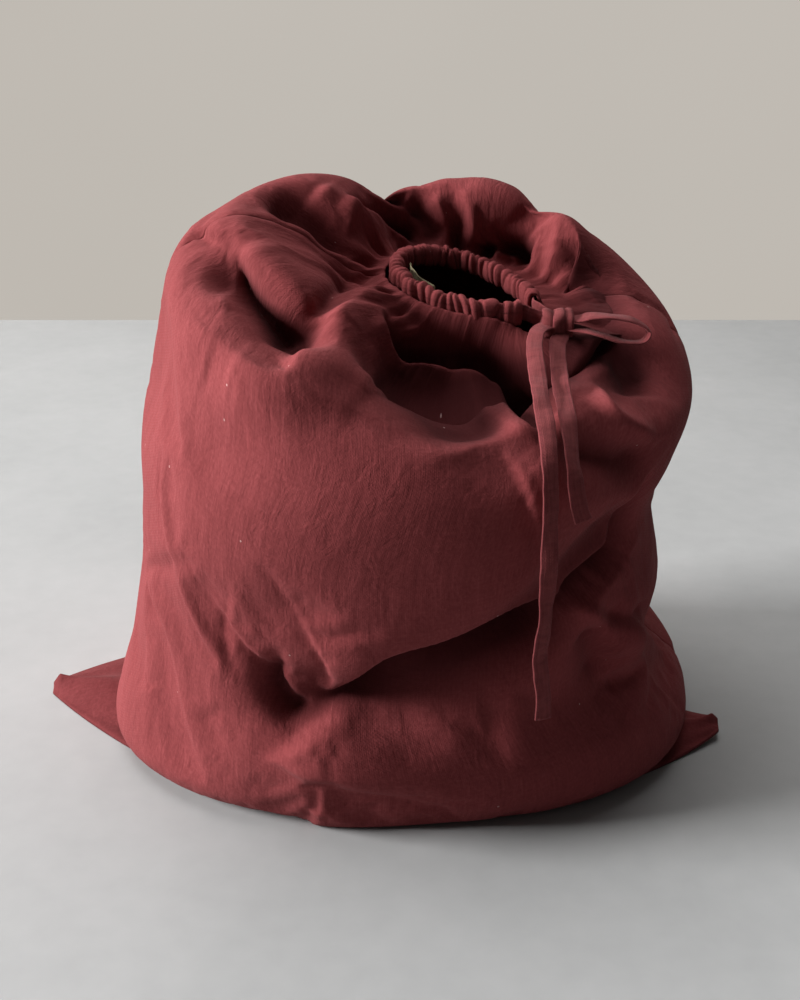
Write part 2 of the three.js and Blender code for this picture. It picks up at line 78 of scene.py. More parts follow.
# Each lamp: its name, its place, what it points at, its two sides, and its watts.
LAMPS = (
    ("window", (-4.7, -0.24, 1.82), (0.0, 0.0, 0.12), (1.8, 1.5), 560),
    ("ceiling", (-0.4, 0.8, 2.2), (0.0, 0.1, 0.1), (2.2, 2.0), 50),
)
AIR_COLOR = (1.0, 0.985, 0.96, 1)
AIR_STRENGTH = 0.06
PALE_ROOM = (0.52, 0.49, 0.45, 1)

camera_data = bpy.data.cameras.new("camera")
camera_data.lens = LENS
camera = bpy.data.objects.new("camera", camera_data)
bpy.context.scene.collection.objects.link(camera)
camera.location = CAMERA_AT
camera.rotation_euler = (math.radians(CAMERA_TILT), 0, 0)
bpy.context.scene.camera = camera


def area_lamp(name, place, aim, size, watts):
    data = bpy.data.lights.new(name, "AREA")
    data.shape = "RECTANGLE"
    data.size, data.size_y = size
    data.energy = watts
    lamp = bpy.data.objects.new(name, data)
    bpy.context.scene.collection.objects.link(lamp)
    lamp.location = place
    way = np.array(aim) - np.array(place)
    flat = math.hypot(way[0], way[1])
    lamp.rotation_euler = (math.atan2(flat, -way[2]), 0, math.atan2(way[1], way[0]) - math.pi / 2)


for lamp_values in LAMPS:
    area_lamp(*lamp_values)

# %%
# The camera sees a pale room past the floor, and the bag is lit only by the dim air.
world = bpy.data.worlds.new("room_air")
bpy.context.scene.world = world
world.use_nodes = True
nodes, links = world.node_tree.nodes, world.node_tree.links
nodes["Background"].inputs["Color"].default_value = AIR_COLOR
nodes["Background"].inputs["Strength"].default_value = AIR_STRENGTH
pale_room = nodes.new("ShaderNodeBackground")
pale_room.inputs["Color"].default_value = PALE_ROOM
ray_kind = nodes.new("ShaderNodeLightPath")
room_mix = nodes.new("ShaderNodeMixShader")
links.new(ray_kind.outputs["Is Camera Ray"], room_mix.inputs[0])
links.new(nodes["Background"].outputs[0], room_mix.inputs[1])
links.new(pale_room.outputs[0], room_mix.inputs[2])
links.new(room_mix.outputs[0], nodes["World Output"].inputs["Surface"])
bpy.context.scene.view_settings.view_transform = "Standard"

# %% [markdown]
# ## Tools for shapes
#
# Each soft piece is a grid of points turned into a mesh. `wire_mesh` makes the mesh, `smooth_run` draws a
# smooth line through a few chosen points, `unit` gives directions, and `eased` makes a share start and end
# gently. `SHIFT` is where the middle of the bag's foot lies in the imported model's frame.

# %%
SHIFT = np.array([0.01374, 0.004744, 0.0])
MM = 0.001


def unit(vectors):
    return vectors / np.maximum(np.linalg.norm(vectors, axis=-1, keepdims=True), 1e-12)


def squared(share, power):
    return np.sign(share) * np.abs(share) ** power


def eased(share):
    return share * share * (3 - 2 * share)


def smooth_run(points, steps):
    """Points along a smooth line through the given ones, steps between each two."""
    points = np.asarray(points, float)
    padded = np.vstack([2 * points[0] - points[1], points, 2 * points[-1] - points[-2]])
    runs = []
    for i in range(len(points) - 1):
        a, b, c, d = padded[i : i + 4]
        t = np.arange(steps)[:, None] / steps
        runs.append(b + 0.5 * t * (c - a + t * (2 * a - 5 * b + 4 * c - d + t * (3 * (b - c) + d - a))))
    return np.vstack(runs + [points[-1:]])


def wire_mesh(name, points, faces, uv=None, hollow=None):
    """A mesh object of points and faces, smooth shaded, with its texture map in metres.

    Its shade attribute holds painted shade: 0 on open cloth and 1 deep in a fold.
    """
    mesh = bpy.data.meshes.new(name)
    mesh.from_pydata(points.tolist(), [], faces)
    mesh.shade_smooth()
    if uv is not None:
        layer = mesh.uv_layers.new(name="cloth")
        corners = np.empty(len(mesh.loops), dtype=np.int32)
        mesh.loops.foreach_get("vertex_index", corners)
        layer.data.foreach_set("uv", np.asarray(uv)[corners].astype(np.float32).ravel())
        depth = mesh.attributes.new("hollow", "FLOAT", "POINT")
        depth.data.foreach_set("value", np.zeros(len(points), np.float32) if hollow is None else hollow)
    mesh.validate()
    piece = bpy.data.objects.new(name, mesh)
    bpy.context.scene.collection.objects.link(piece)
    return piece


def tube_faces(rings, count, looped=False):
    """Quads between rings of points laid one after another, with closed ends unless it is looped."""
    faces = []
    for i in range(rings if looped else rings - 1):
        here, there = i * count, (i + 1) % rings * count
        for j in range(count):
            k = (j + 1) % count
            faces.append((here + j, here + k, there + k, there + j))
    if not looped:
        faces.append(tuple(range(count))[::-1])
        faces.append(tuple(range((rings - 1) * count, rings * count)))
    return faces


# %% [markdown]
# ## The free ends of the drawstring
#
# The string is a strip of linen folded to nine millimetres and stitched along both edges. From the knot two
# tails fall over the front of the bag, and one loop of a half bow lies to the right. They are made first,
# because their length is fixed and everything else gives way to them.

# %%
STRIP_WIDTH = 9 * MM
STRIP_THICK = 1.9 * MM
STITCH_IN = 0.72
STITCH_DIP = 0.3 * MM
STITCH_ROW_WIDTH = 0.07

# Each stop: its place in millimetres from the middle of the bag's foot, and the way of the strip's width
# there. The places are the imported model's, but for the long tail's first, which lies 2 mm further into the
# knot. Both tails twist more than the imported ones, and the loop is the same.
LONG_TAIL = [
    ((81.9, -41.9, 264.9), (0.3, -0.95, 0)),
    ((75.9, -47.5, 264.6), (0.55, -0.8, 0)),
    ((72.5, -56, 263), (0.95, -0.3, 0)),
    ((71, -68, 259.5), (1, -0.05, 0.1)),
    ((71, -85, 253.5), (1, 0, 0.15)),
    ((71, -112, 247), (1, 0.1, 0)),
    ((72, -128, 240.5), (1, 0.15, 0)),
    ((72.6, -143, 230), (0.95, 0.3, 0)),
    ((73.2, -150, 219), (0.9, 0.4, 0)),
    ((73.6, -152.6, 199), (0.88, 0.48, 0)),
    ((74, -153.4, 172), (0.97, 0.2, 0)),
    ((73.3, -153.5, 144), (0.85, 0.5, 0)),
    ((71.8, -153.2, 120.5), (0.85, 0.55, 0)),
    ((74.5, -153, 97), (0.92, 0.4, 0)),
    ((74.8, -153, 85), (0.95, 0.3, 0)),
]
SHORT_TAIL = [
    ((87.5, -41.5, 261.2), (1, 0.1, 0)),
    ((86.8, -47.5, 259.9), (1, 0.1, 0)),
    ((84.2, -58, 257.5), (1, 0.1, 0)),
    ((83, -90, 248), (1, 0, 0.3)),
    ((83.5, -118, 241.8), (0.9, 0.3, 0.2)),
    ((84, -132, 234), (0.7, 0.7, 0)),
    ((85, -143, 222), (0.75, 0.65, 0)),
    ((88, -148, 205), (1, 0.35, 0)),
    ((90.5, -149, 197), (1, 0.2, 0)),
]
BOW_LOOP = [
    ((90, -40, 267.2), (0, 1, 0)),
    ((96.8, -41.5, 268.3), (0, 1, 0)),
    ((104, -43, 270.3), (0, 1, 0.1)),
    ((116, -44, 270), (0, 1, 0.1)),
    ((128, -44, 267.5), (0, 1, 0.05)),
    ((135, -44, 262), (0, 1, 0)),
    ((131, -47, 257), (0, 1, 0)),
    ((119, -50, 258.5), (0, 1, 0)),
    ((107, -49, 262), (0, 1, 0)),
    ((97.2, -44, 263.4), (0, 1, 0)),
    ((90, -40.5, 263.8), (0, 1, 0)),
]


def strip_profile(sides=14):
    """The strip's outline: two soft faces with a dip along each row of stitches."""
    across = np.cos(np.linspace(0, math.pi, sides))
    swell = np.sqrt(np.maximum(0, 1 - np.abs(across) ** 5))
    dip = STITCH_DIP * np.exp(-(((np.abs(across) - STITCH_IN) / STITCH_ROW_WIDTH) ** 2))
    height = STRIP_THICK / 2 * swell - dip * (swell > 0)
    top = np.stack([across * STRIP_WIDTH / 2, height], 1)
    under = np.stack([across[1:-1][::-1] * STRIP_WIDTH / 2, -height[1:-1][::-1]], 1)
    return np.vstack([top, under])


def strip(name, stops, steps, ripple=0.35 * MM, seed=1):
    """A flat strip along a smooth route. Returns the piece and the middle line that it follows."""
    middle = smooth_run(np.array([at for at, _ in stops]) * MM + SHIFT, steps)
    wide = unit(smooth_run([way for _, way in stops], steps))
    along = unit(np.gradient(middle, axis=0))
    wide = unit(wide - along * np.sum(wide * along, 1, keepdims=True))
    through = np.cross(along, wide)
    travel = np.concatenate([[0], np.cumsum(np.linalg.norm(np.diff(middle, axis=0), axis=1))])
    profile = strip_profile()
    rng = np.random.default_rng(seed)
    phase = rng.uniform(0, 2 * math.pi, 6)
    rings, uv = [], []
    for i, point in enumerate(middle):
        s = travel[i]
        lift = ripple * (math.sin(s * 190 + phase[0]) + 0.6 * math.sin(s * 410 + phase[1]))
        twist = 0.09 * math.sin(s * 95 + phase[2]) + 0.06 * math.sin(s * 260 + phase[3])
        narrow = 1 + 0.035 * math.sin(s * 150 + phase[4]) + 0.02 * math.sin(s * 530 + phase[5])
        for x, h in profile:
            height = h + x * twist + lift * (1 - 0.4 * abs(x) / 0.0045)
            rings.append(point + wide[i] * x * narrow + through[i] * height)
            uv.append((x, s))
    faces = tube_faces(len(middle), len(profile))
    piece = wire_mesh(name, np.array(rings), faces, uv)
    return piece, middle


long_tail, long_line = strip("long_tail_strip", LONG_TAIL, 12, seed=3)
short_tail, short_line = strip("short_tail_strip", SHORT_TAIL, 12, seed=5)
bow_loop, loop_line = strip("bow_loop_strip", BOW_LOOP, 9, ripple=0.12 * MM, seed=8)


for piece, line, body, node, far_end, lay in (
    (long_tail, long_line, "long_tail", "tail_long", "bare", "hanging"),
    (short_tail, short_line, "short_tail", "tail_short", "bare", "hanging"),
    (bow_loop, loop_line, "loop", "bow_loop", "object", "loose"),
):
    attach(piece, body)
    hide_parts(node)

# %% [markdown]
# ## The shape of the filled bag
#
# Fourteen level outlines from the bottom seam to the gathered mouth carry the bag's shape. Each is a rounded
# outline with its own left, right, front and back limit, so the bag can sag to one side. A smooth run upwards
# through them gives any point of the cloth by two numbers: degrees round the bag, and outline number upwards.

# %%
BAG_WIDTH = 356 * MM
BAG_DEPTH = 276 * MM
BAG_HEIGHT = 326 * MM
# up, left, right, front, back, squareness, fall to the right, fall to the front, rise to the back
SECTIONS = np.array(
    [
        (0, -0.83, 0.83, 0, 0, 2, 0, 0, 0),
        (0, -0.86, 0.86, -0.46, 0.46, 2.1, 0, 0, 0),
        (0, -0.92, 0.93, -0.88, 0.85, 2.3, 0, 0, 0),
        (0.035, -0.995, 1.0, -0.985, 0.98, 2.35, 0, 0, 0),
        (0.115, -0.97, 0.98, -1.0, 1.02, 2.35, 0, 0, 0),
        (0.23, -0.9, 0.83, -0.98, 1.02, 2.35, 0, 0, 0),
        (0.35, -0.865, 0.86, -1.02, 1.02, 2.3, 0, 0, 0),
        (0.5, -0.835, 0.82, -1.08, 1.02, 2.3, 0, 0, 0),
        (0.6, -0.825, 0.88, -1.09, 1.01, 2.25, 0, 0.01, 0),
        (0.69, -0.79, 0.925, -1.05, 0.98, 2.2, 0, 0.03, 0),
        (0.79, -0.745, 0.88, -0.96, 0.9, 2.2, 0.015, 0.07, 0),
        (0.862, -0.71, 0.8, -0.82, 0.76, 2.15, 0.028, 0.1, 0.01),
        (0.914, -0.61, 0.69, -0.66, 0.58, 2.1, 0.026, 0.12, 0.03),
        (0.948, -0.42, 0.57, -0.5, 0.4, 2, 0.028, 0.15, 0.04),
    ]
)
LAST = len(SECTIONS)
# The casing's middle line, and how it falls towards the knot.
MOUTH_WIDTH = 64 * MM
MOUTH_DEPTH = 58 * MM
MOUTH_X = 30 * MM
MOUTH_Y = -3 * MM
MOUTH_DROP = 47 * MM
MOUTH_FALL_RIGHT = 7 * MM
MOUTH_FALL_FRONT = 6 * MM
TIP_ANGLE = -34
TIP_REACH = 18 * MM
TIP_SHARPNESS = 4
SEAT_OUT = 5.6 * MM
SEAT_DIP = 10 * MM


def tip_share(angle):
    return ((1 + np.cos(np.radians(angle - TIP_ANGLE))) / 2) ** TIP_SHARPNESS


def mouth_line(angle):
    """The middle line of the casing, an ellipse drawn out to a tip where the string leaves it."""
    angle = np.asarray(angle, float)
    c, s = np.cos(np.radians(angle)), np.sin(np.radians(angle))
    tip = TIP_REACH * tip_share(angle)
    return np.stack(
        [
            MOUTH_X + MOUTH_WIDTH / 2 * c + tip * math.cos(math.radians(TIP_ANGLE)),
            MOUTH_Y + MOUTH_DEPTH / 2 * s + tip * math.sin(math.radians(TIP_ANGLE)),
            BAG_HEIGHT - MOUTH_DROP - MOUTH_FALL_RIGHT * c + MOUTH_FALL_FRONT * s,
        ],
        -1,
    )


def mouth_outward(angle):
    ahead = mouth_line(np.asarray(angle) + 0.02) - mouth_line(np.asarray(angle) - 0.02)
    return unit(np.cross(ahead, [0, 0, 1]))


def mouth_point(angle, out=0.0, lift=0.0):
    out, lift = np.broadcast_arrays(np.asarray(out, float), np.asarray(lift, float))
    point = mouth_line(angle) + mouth_outward(angle) * out[..., None]
    point[..., 2] += lift
    return point


def outlines(angles):
    """Every outline's point at each angle, from the bottom seam to the casing's outer side."""
    c, s = np.cos(np.radians(angles)), np.sin(np.radians(angles))
    rows = []
    for up, left, right, front, back, square, fall_right, fall_front, rise_back in SECTIONS:
        x = BAG_WIDTH / 4 * (right + left + (right - left) * squared(c, 2 / square))
        y = BAG_DEPTH / 4 * (back + front + (back - front) * squared(s, 2 / square))
        tilt = ((rise_back + fall_front) * s + (rise_back - fall_front) * s * s) / 2
        rows.append(np.stack([x, y, BAG_HEIGHT * (up - fall_right * c + tilt)], -1))
    rows.append(mouth_point(angles, SEAT_OUT, -SEAT_DIP * tip_share(angles) ** 6))
    return np.array(rows)


def plain(angles, stations):
    """The cloth without its folds, for angles (n) and stations (n) or (rows, n)."""
    table = outlines(angles)
    stations = np.clip(stations, 0, LAST)
    k = np.clip(np.floor(stations).astype(int), 0, LAST - 1)
    t = (stations - k)[..., None]
    column = np.broadcast_to(np.arange(len(angles)), k.shape)
    a, b, c, d = (table[np.clip(k + n, 0, LAST), column] for n in (-1, 0, 1, 2))
    point = b + 0.5 * t * (c - a + t * (2 * a - 5 * b + 4 * c - d + t * (3 * (b - c) + d - a)))
    point[..., 2] = np.maximum(point[..., 2], 0)
    return point


def plain_normal(angles, stations):
    """The way straight out of the cloth."""
    at = np.maximum(stations, 0.5)
    top = np.minimum(at + 0.02, LAST)
    upward = plain(angles, top) - plain(angles, top - 0.04)
    round_ = plain(angles + 0.02, at) - plain(angles - 0.02, at)
    return unit(np.cross(round_, upward))


# %% [markdown]
# ## A fine grid over the bag
#
# The outlines are far apart, and the folds need a point every two millimetres or so. The rows are shared
# out by distance along the cloth, with more of them near the mouth, where the cloth is gathered tightly.

# %%
COLUMNS = 480
ROWS = 257
angles = np.linspace(0, 360, COLUMNS + 1)


def spaced_stations():
    fine = np.linspace(0, LAST, 40 * LAST + 1)
    stations = np.empty((ROWS, COLUMNS + 1))
    for part in np.array_split(np.arange(COLUMNS + 1), 16):
        points = plain(angles[part], np.repeat(fine[:, None], len(part), 1))
        step = np.linalg.norm(np.diff(points, axis=0), axis=2)
        step *= np.interp(fine[1:], [0, 2, 3, 11, 13, LAST], [0.35, 0.8, 1, 1, 1.5, 2.0])[:, None]
        total = np.vstack([np.zeros(len(part)), np.cumsum(step, 0)])
        for n, j in enumerate(part):
            stations[:, j] = np.interp(np.linspace(0, total[-1, n], ROWS), total[:, n], fine)
    # Neighbouring columns keep nearly the same stations, so that rows run smoothly round.
    for _ in range(6):
        core = stations[:, :-1]
        core = (np.roll(core, 1, 1) + 2 * core + np.roll(core, -1, 1)) / 4
        stations = np.hstack([core, core[:, :1]])
    return stations


stations = spaced_stations()
base = plain(angles, stations)
normal = plain_normal(angles, stations)
climb = np.concatenate(
    [np.zeros((1, COLUMNS + 1)), np.cumsum(np.linalg.norm(np.diff(base, axis=0), axis=2), axis=0)]
)
from_seat = climb[-1] - climb
print("cloth from bottom seam to casing, m:", climb[-1].min().round(3), "to", climb[-1].max().round(3))

# %% [markdown]
# ## Folds
#
# A fold is a line over the cloth with a height. `nearest` finds, for each point of the grid, how far it is
# from the line, on which side, and how far along. The first list is the big folds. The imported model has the
# same eight, but its big crease (the first) starts further left and is wider, and its fold below the knot
# (the fourth) is shorter and deeper. The lists after it add what a hand would feel: rolled edges, dents,
# pressed creases and tucks. They are in this lesson only.

# %%
# Each big fold: its line (degrees round the bag, outline number), its width and its height in millimetres.
BIG_FOLDS = [
    ([(257, 5.3), (268, 5.2), (284, 6.0), (300, 6.6), (318, 7.2)], 22, -16),
    ([(206, 12.3), (222, 12.5), (242, 12.2)], 15, -17),
    ([(258, 12.6), (275, 12.6), (295, 12.6)], 14, -9),
    ([(296, 12.3), (316, 12.2), (335, 12.1), (352, 12.4)], 27, -27),
    ([(308, 12.9), (324, 13.0), (342, 12.9)], 18, -13),
    ([(104, 12.2), (110, 13.6)], 15, -11),
    ([(318, 10.6), (336, 10.2)], 17, -9),
    ([(70, 9), (84, 7.6), (96, 6.6)], 26, -10),
]
FREE_BELOW_SEAT = 9 * MM


def nearest(line, points):
    """Distance from each point to the line, the offset from it, its direction there and the share along."""
    best = np.full(len(points), np.inf)
    offset = np.zeros_like(points)
    ahead = np.zeros_like(points)
    share = np.zeros(len(points))
    steps = np.linalg.norm(np.diff(line, axis=0), axis=1)
    travel = np.concatenate([[0], np.cumsum(steps)]) / max(steps.sum(), 1e-9)
    for i, (a, b) in enumerate(zip(line[:-1], line[1:])):
        ab = b - a
        t = np.clip((points - a) @ ab / max(ab @ ab, 1e-12), 0, 1)
        away = points - (a + t[:, None] * ab)
        d = np.einsum("ij,ij->i", away, away)
        nearer = d < best
        best[nearer] = d[nearer]
        offset[nearer] = away[nearer]
        ahead[nearer] = ab
        share[nearer] = (travel[i] + t * (travel[i + 1] - travel[i]))[nearer]
    return np.sqrt(best), offset, unit(ahead), share


def line_on_cloth(places, steps):
    places = np.array(places, float)
    if steps > 1:
        places = smooth_run(places, steps)
    return plain(places[:, 0] % 360, places[:, 1])


flat_base = base.reshape(-1, 3)
flat_normal = normal.reshape(-1, 3)
# The top edge is sewn to the casing, so every fold dies out just before it.
seat_share = eased(np.clip(from_seat.reshape(-1, 1) / FREE_BELOW_SEAT, 0, 1))
raised = np.zeros(len(flat_base))
for places, width, height in BIG_FOLDS:
    distance = nearest(line_on_cloth(places, 1), flat_base)[0]
    raised += height * MM * np.exp(-((distance / (width * MM)) ** 2))
cloth = flat_base + flat_normal * raised[:, None] * seat_share

# %%
# Each stroke: its line, its height in millimetres, its width in millimetres on the side towards the mouth
# and on the side away from it, and how far its crest leans over (above 0 away from the mouth).
STROKES = {
    "shoulder_flap": (
        [(176, 11.90), (186, 12.44), (192, 12.69), (203, 12.76), (212, 12.84), (223, 12.90), (232, 12.98)],
        6, 14, 8, 2,
    ),
    "facet_edge": ([(202, 12.61), (203, 12.36), (210, 12.10), (219, 11.62)], 4, 8, 8, 0),
    "pocket": ([(232, 11.64), (233, 12.07), (231, 12.68), (234, 12.73)], -5, 8, 7, 0),
    "front_rim": (
        [(221, 10.93), (227, 10.80), (235, 10.64), (242, 10.68), (246, 11.08), (244, 12.33), (241, 12.89),
         (232, 13.41), (217, 13.72)],
        12, 8, 18, -2,
    ),
    "left_dimple": ([(220, 10.30), (224, 10.38), (231, 10.52)], -4, 12, 12, 0),
    "peak_pinch": ([(180, 11.73), (180, 11.96), (190, 12.26)], -4, 4, 5, 0),
    "top_hollow": ([(171, 12.94), (161, 13.23), (161, 13.45), (176, 13.64)], -14, 12, 13, 0),
    "hollow_foot": ([(190, 13.72), (213, 13.49), (229, 13.12), (232, 12.83)], -10, 8, 7, 0),
    "top_crease": ([(189, 12.74), (200, 13.17), (200, 13.47)], 1.6, 3, 3, 0),
    "crest_second": ([(114, 13.18), (107, 13.27), (100, 13.37), (97, 13.54), (96, 13.73)], 6, 6, 6, 0),
    "notch_valley": ([(100, 13.25), (95, 13.32), (93, 13.53), (94, 13.76)], -15, 8, 8, 0),
    "pleat_ridge_a": ([(89, 13.18), (86, 13.34), (85, 13.51), (87, 13.72)], 6, 5, 5, 0),
    "pleat_valley_a": ([(82, 13.39), (80, 13.55), (84, 13.82)], -7, 4.5, 4.5, 0),
    "pleat_ridge_b": ([(76, 13.06), (72, 13.33), (71, 13.55), (76, 13.74)], 6, 5, 5, 0),
    "hole_a": ([(66, 13.62), (64, 13.80)], -14, 6, 6, 0),
    "hole_strut": ([(61, 13.56), (57, 13.79)], 5, 3, 3, 0),
    "dome_shadow": ([(50, 12.98), (44, 13.11), (36, 13.24)], -4, 14, 14, 0),
    "dome_band": ([(35, 12.96), (23, 13.30), (19, 13.65)], 5, 10, 10, 0),
    "dome_side": ([(19, 13.22), (13, 13.35), (5, 13.46)], -7, 9, 9, 0),
    "cap_slit": ([(361, 10.78), (361, 10.22), (353, 10.11)], -4, 3, 3, 0),
    "lip_band": ([(287, 12.88), (288, 11.47), (288, 10.47), (291, 10.05)], 5, 4, 5, 0),
    "front_turn": ([(244, 13.20), (249, 12.76), (254, 12.01), (255, 10.97)], 6, 14, 16, 0),
    "front_shadow": ([(252, 13.03), (259, 13.03), (271, 12.78), (282, 11.51), (284, 10.10)], -30, 20, 34, 0),
    "fan_b": ([(316, 11.22), (310, 10.23), (313, 9.61), (322, 9.02)], 7, 8, 7, 0),
    "fan_band": ([(295, 9.79), (305, 9.25), (314, 8.86), (321, 8.87)], -13, 12, 15, 0),
    "tongue_line": ([(253, 6.21), (260, 6.34), (265, 6.47)], -0.8, 4, 4, 0),
    "waist_second": ([(307, 6.19), (315, 6.45), (324, 6.67), (335, 6.94)], 3, 6, 6, 0),
    "right_lobe": ([(309, 6.12), (317, 5.46), (319, 4.99)], -12, 12, 14, 0),
    "right_lobe_edge": ([(305, 6.32), (310, 6.28), (316, 5.88), (322, 5.19)], 7, 5, 7, 0),
    "right_notch": ([(334, 5.87), (322, 6.01), (315, 6.23)], -9, 7, 6, 0),
    "lobe_foot": ([(320, 4.96), (327, 4.81), (333, 4.80)], -8, 7, 8, 0),
    "left_ridge": (
        [(212, 8.46), (213, 7.78), (218, 7.01), (224, 6.47), (229, 6.06), (235, 5.65), (237, 5.14)],
        3, 9, 9, 0,
    ),
    "left_facet": ([(200, 6.19), (215, 5.79), (225, 4.81), (232, 4.08)], 3, 12, 10, 0),
    "left_notch": ([(197, 6.09), (209, 6.44), (225, 6.84)], -4, 10, 10, 0),
    "left_low": ([(232, 4.86), (236, 4.35), (233, 3.71)], -2.5, 14, 12, 0),
    "wrinkle_a": ([(237, 6.53), (235, 6.10), (237, 5.58)], -1.8, 2.5, 2.5, 0),
    "wrinkle_b": ([(239, 6.62), (238, 6.20), (239, 5.70)], 1.4, 2.5, 2.5, 0),
    "wrinkle_c": ([(258, 6.21), (257, 5.76), (257, 5.32)], -1.2, 2, 2, 0),
    "wrinkle_d": ([(259, 6.20), (259, 5.79), (259, 5.39)], -1.2, 2, 2, 0),
    "bottom_pinch": ([(261, 4.59), (261, 3.94)], -1.2, 3, 4, 0),
    "pressed_crease": ([(235, 10.54), (247, 10.54), (257, 10.63), (267, 10.37), (275, 9.71)], 1, 2, 2, 0),
    "low_edge": ([(257, 4.88), (259, 4.68), (260, 4.36), (259, 3.90)], 17, 60, 22, 0),
    "low_hollow": ([(268, 4.83), (278, 4.84), (294, 4.97)], -6, 22, 22, 0),
    "lobe_top": ([(314, 5.92), (322, 5.94), (349, 4.63)], 8, 6, 16, 0),
    "crease_end": ([(248, 5.91), (248, 5.37), (252, 5.04), (258, 4.96)], -13, 7, 8, 0),
    "crest_ridge": ([(141, 13.15), (142, 13.34), (134, 13.48)], 9, 9, 12, 0),
    "lobe_side": ([(329, 5.96), (325, 5.75), (335, 4.50)], 12, 9, 20, 0),
    "hole_b": ([(54, 13.71), (53, 13.57), (41, 13.67)], -20, 8, 8, 0),
    "fan_deep": ([(331, 11.39), (332, 10.81), (324, 9.97)], -11, 16, 16, 0),
    "notch_back": ([(105, 12.20), (103, 12.80), (101, 13.30)], -11, 9, 9, 0),
    "dome_top": ([(90, 12.70), (75, 12.80), (60, 12.80), (44, 12.70)], 8, 20, 22, 0),
    "cap_pocket": ([(345, 13.30), (350, 12.80), (352, 12.00)], -17, 16, 16, 0),
}


CRISP_UNDER = 12 * MM


def near_line(line, reach):
    """The grid points within reach of a line's box, as numbers."""
    low, high = line.min(0) - reach, line.max(0) + reach
    return np.where(np.all((flat_base > low) & (flat_base < high), axis=1))[0]


def stroke(places, height, inner_width, outer_width, lean):
    """How one fold moves the cloth: its height along the normal, its crest's lean along the cloth."""
    line = line_on_cloth(places, 6)
    near = near_line(line, 3.2 * max(inner_width, outer_width) * MM)
    distance, offset, ahead, share = nearest(line, flat_base[near])
    inward = np.cross(flat_normal[near], ahead)
    inside = np.einsum("ij,ij->i", offset, inward) > 0
    width = np.where(inside, inner_width, outer_width) * MM
    fade = eased(np.clip(np.minimum(share, 1 - share) / 0.25, 0, 1))
    # A narrow side is crisp, as folded cloth is, and a wide side is soft.
    tip = 0.3 * width
    crisp = np.exp(-(np.hypot(distance, tip) - tip) / (0.75 * width))
    soft = np.exp(-((distance / width) ** 2))
    profile = np.where(width < CRISP_UNDER, crisp, soft) * (0.35 + 0.65 * fade)
    move = flat_normal[near] * (height * MM * profile)[:, None]
    move -= inward * (lean * MM * profile)[:, None]
    return near, move


# %%
# Each tuck: its line, how far the cloth bulges on the line's left, how deep it drops just right of the
# line, and the widths of both. The cloth on the left hangs over the drop, and that keeps the light out of
# it.
TUCKS = {
    "crease": (
        [(257, 5.45), (260, 5.28), (263, 5.44), (266, 5.82), (270, 6.11), (276, 6.22), (284, 6.35),
         (294, 6.44), (308, 6.51)],
        5, 28, 40, 20,
    ),
    "waist": ([(301, 6.28), (306, 6.62), (314, 6.80), (322, 7.04), (320, 7.82), (324, 8.38)], 4, 10, 22, 11),
    "shoulder": (
        [(198, 12.63), (206, 12.64), (214, 12.66), (223, 12.69), (231, 12.75), (236, 12.76)],
        7, 13, 20, 6,
    ),
    "lip": (
        [(293, 9.96), (291, 10.73), (295, 12.85), (292, 13.11), (285, 13.22), (275, 13.29), (266, 13.33),
         (257, 13.30), (248, 13.38), (240, 13.50), (228, 13.77)],
        8, 24, 24, 18,
    ),
    "crest": ([(106, 13.75), (110, 13.59), (118, 13.48), (134, 13.45), (137, 13.31)], 5, 11, 13, 7),
}


def tuck(places, bulge, depth, bulge_width, trough_width):
    """How one overhanging tuck moves the cloth."""
    line = line_on_cloth(places, 6)
    near = near_line(line, 3 * max(bulge_width, trough_width) * MM)
    distance, offset, ahead, share = nearest(line, flat_base[near])
    left = np.einsum("ij,ij->i", offset, np.cross(flat_normal[near], ahead)) > 0
    away = distance / MM
    over = bulge * np.exp(-((away / bulge_width) ** 2))
    drop = eased(np.clip(away / 3.0, 0, 1))
    under = bulge * (1 - drop) - depth * drop * np.exp(-((away / trough_width) ** 1.6))
    fade = eased(np.clip(np.minimum(share, 1 - share) / 0.2, 0, 1))
    return near, flat_normal[near] * (np.where(left, over, under) * fade * MM)[:, None]


# %%
# How far in millimetres the cloth may stand up beside the casing, how much more away from it, and how far
# away that is. Then how deep a fold must sink before painted shade darkens its colour, and how much deeper
# that painted shade is full.
STAND_LEAST = 5
STAND_MORE = 11
STAND_FREE = 45 * MM
PAINTED_SHADE_FROM = 3 * MM
PAINTED_SHADE_OVER = 15 * MM

for shape, folds in ((stroke, STROKES), (tuck, TUCKS)):
    for fold in folds.values():
        near, move = shape(*fold)
        cloth[near] += move * seat_share[near]
# Folds that meet would add up to spikes, so the cloth stands up less and less, least beside the casing.
stands = np.sum((cloth - flat_base) * flat_normal, axis=1)
room = (STAND_LEAST + STAND_MORE * np.clip(from_seat.ravel() / STAND_FREE, 0, 1)) * MM
stands = np.maximum(stands, 0)
cloth += flat_normal * (room * np.tanh(stands / room) - stands)[:, None]
cloth = cloth.reshape(base.shape)
sunk = np.sum((cloth - base) * normal, axis=2)
# The share of painted shade: sunk folds get a darker colour, standing for the shade in them.
hollow = np.clip((-sunk - PAINTED_SHADE_FROM) / PAINTED_SHADE_OVER, 0, 1)
print("folds:", len(BIG_FOLDS) + len(STROKES) + len(TUCKS))

# %% [markdown]
# ## Gathers
#
# The casing draws half a metre of cloth into a ring about a hand's breadth round, so pleats run out from
# it. Some die within a finger's width and a few reach far over the crown. Each pleat is a valley with its
# own width, depth and reach, laid out unevenly, because a string gathers cloth unevenly.

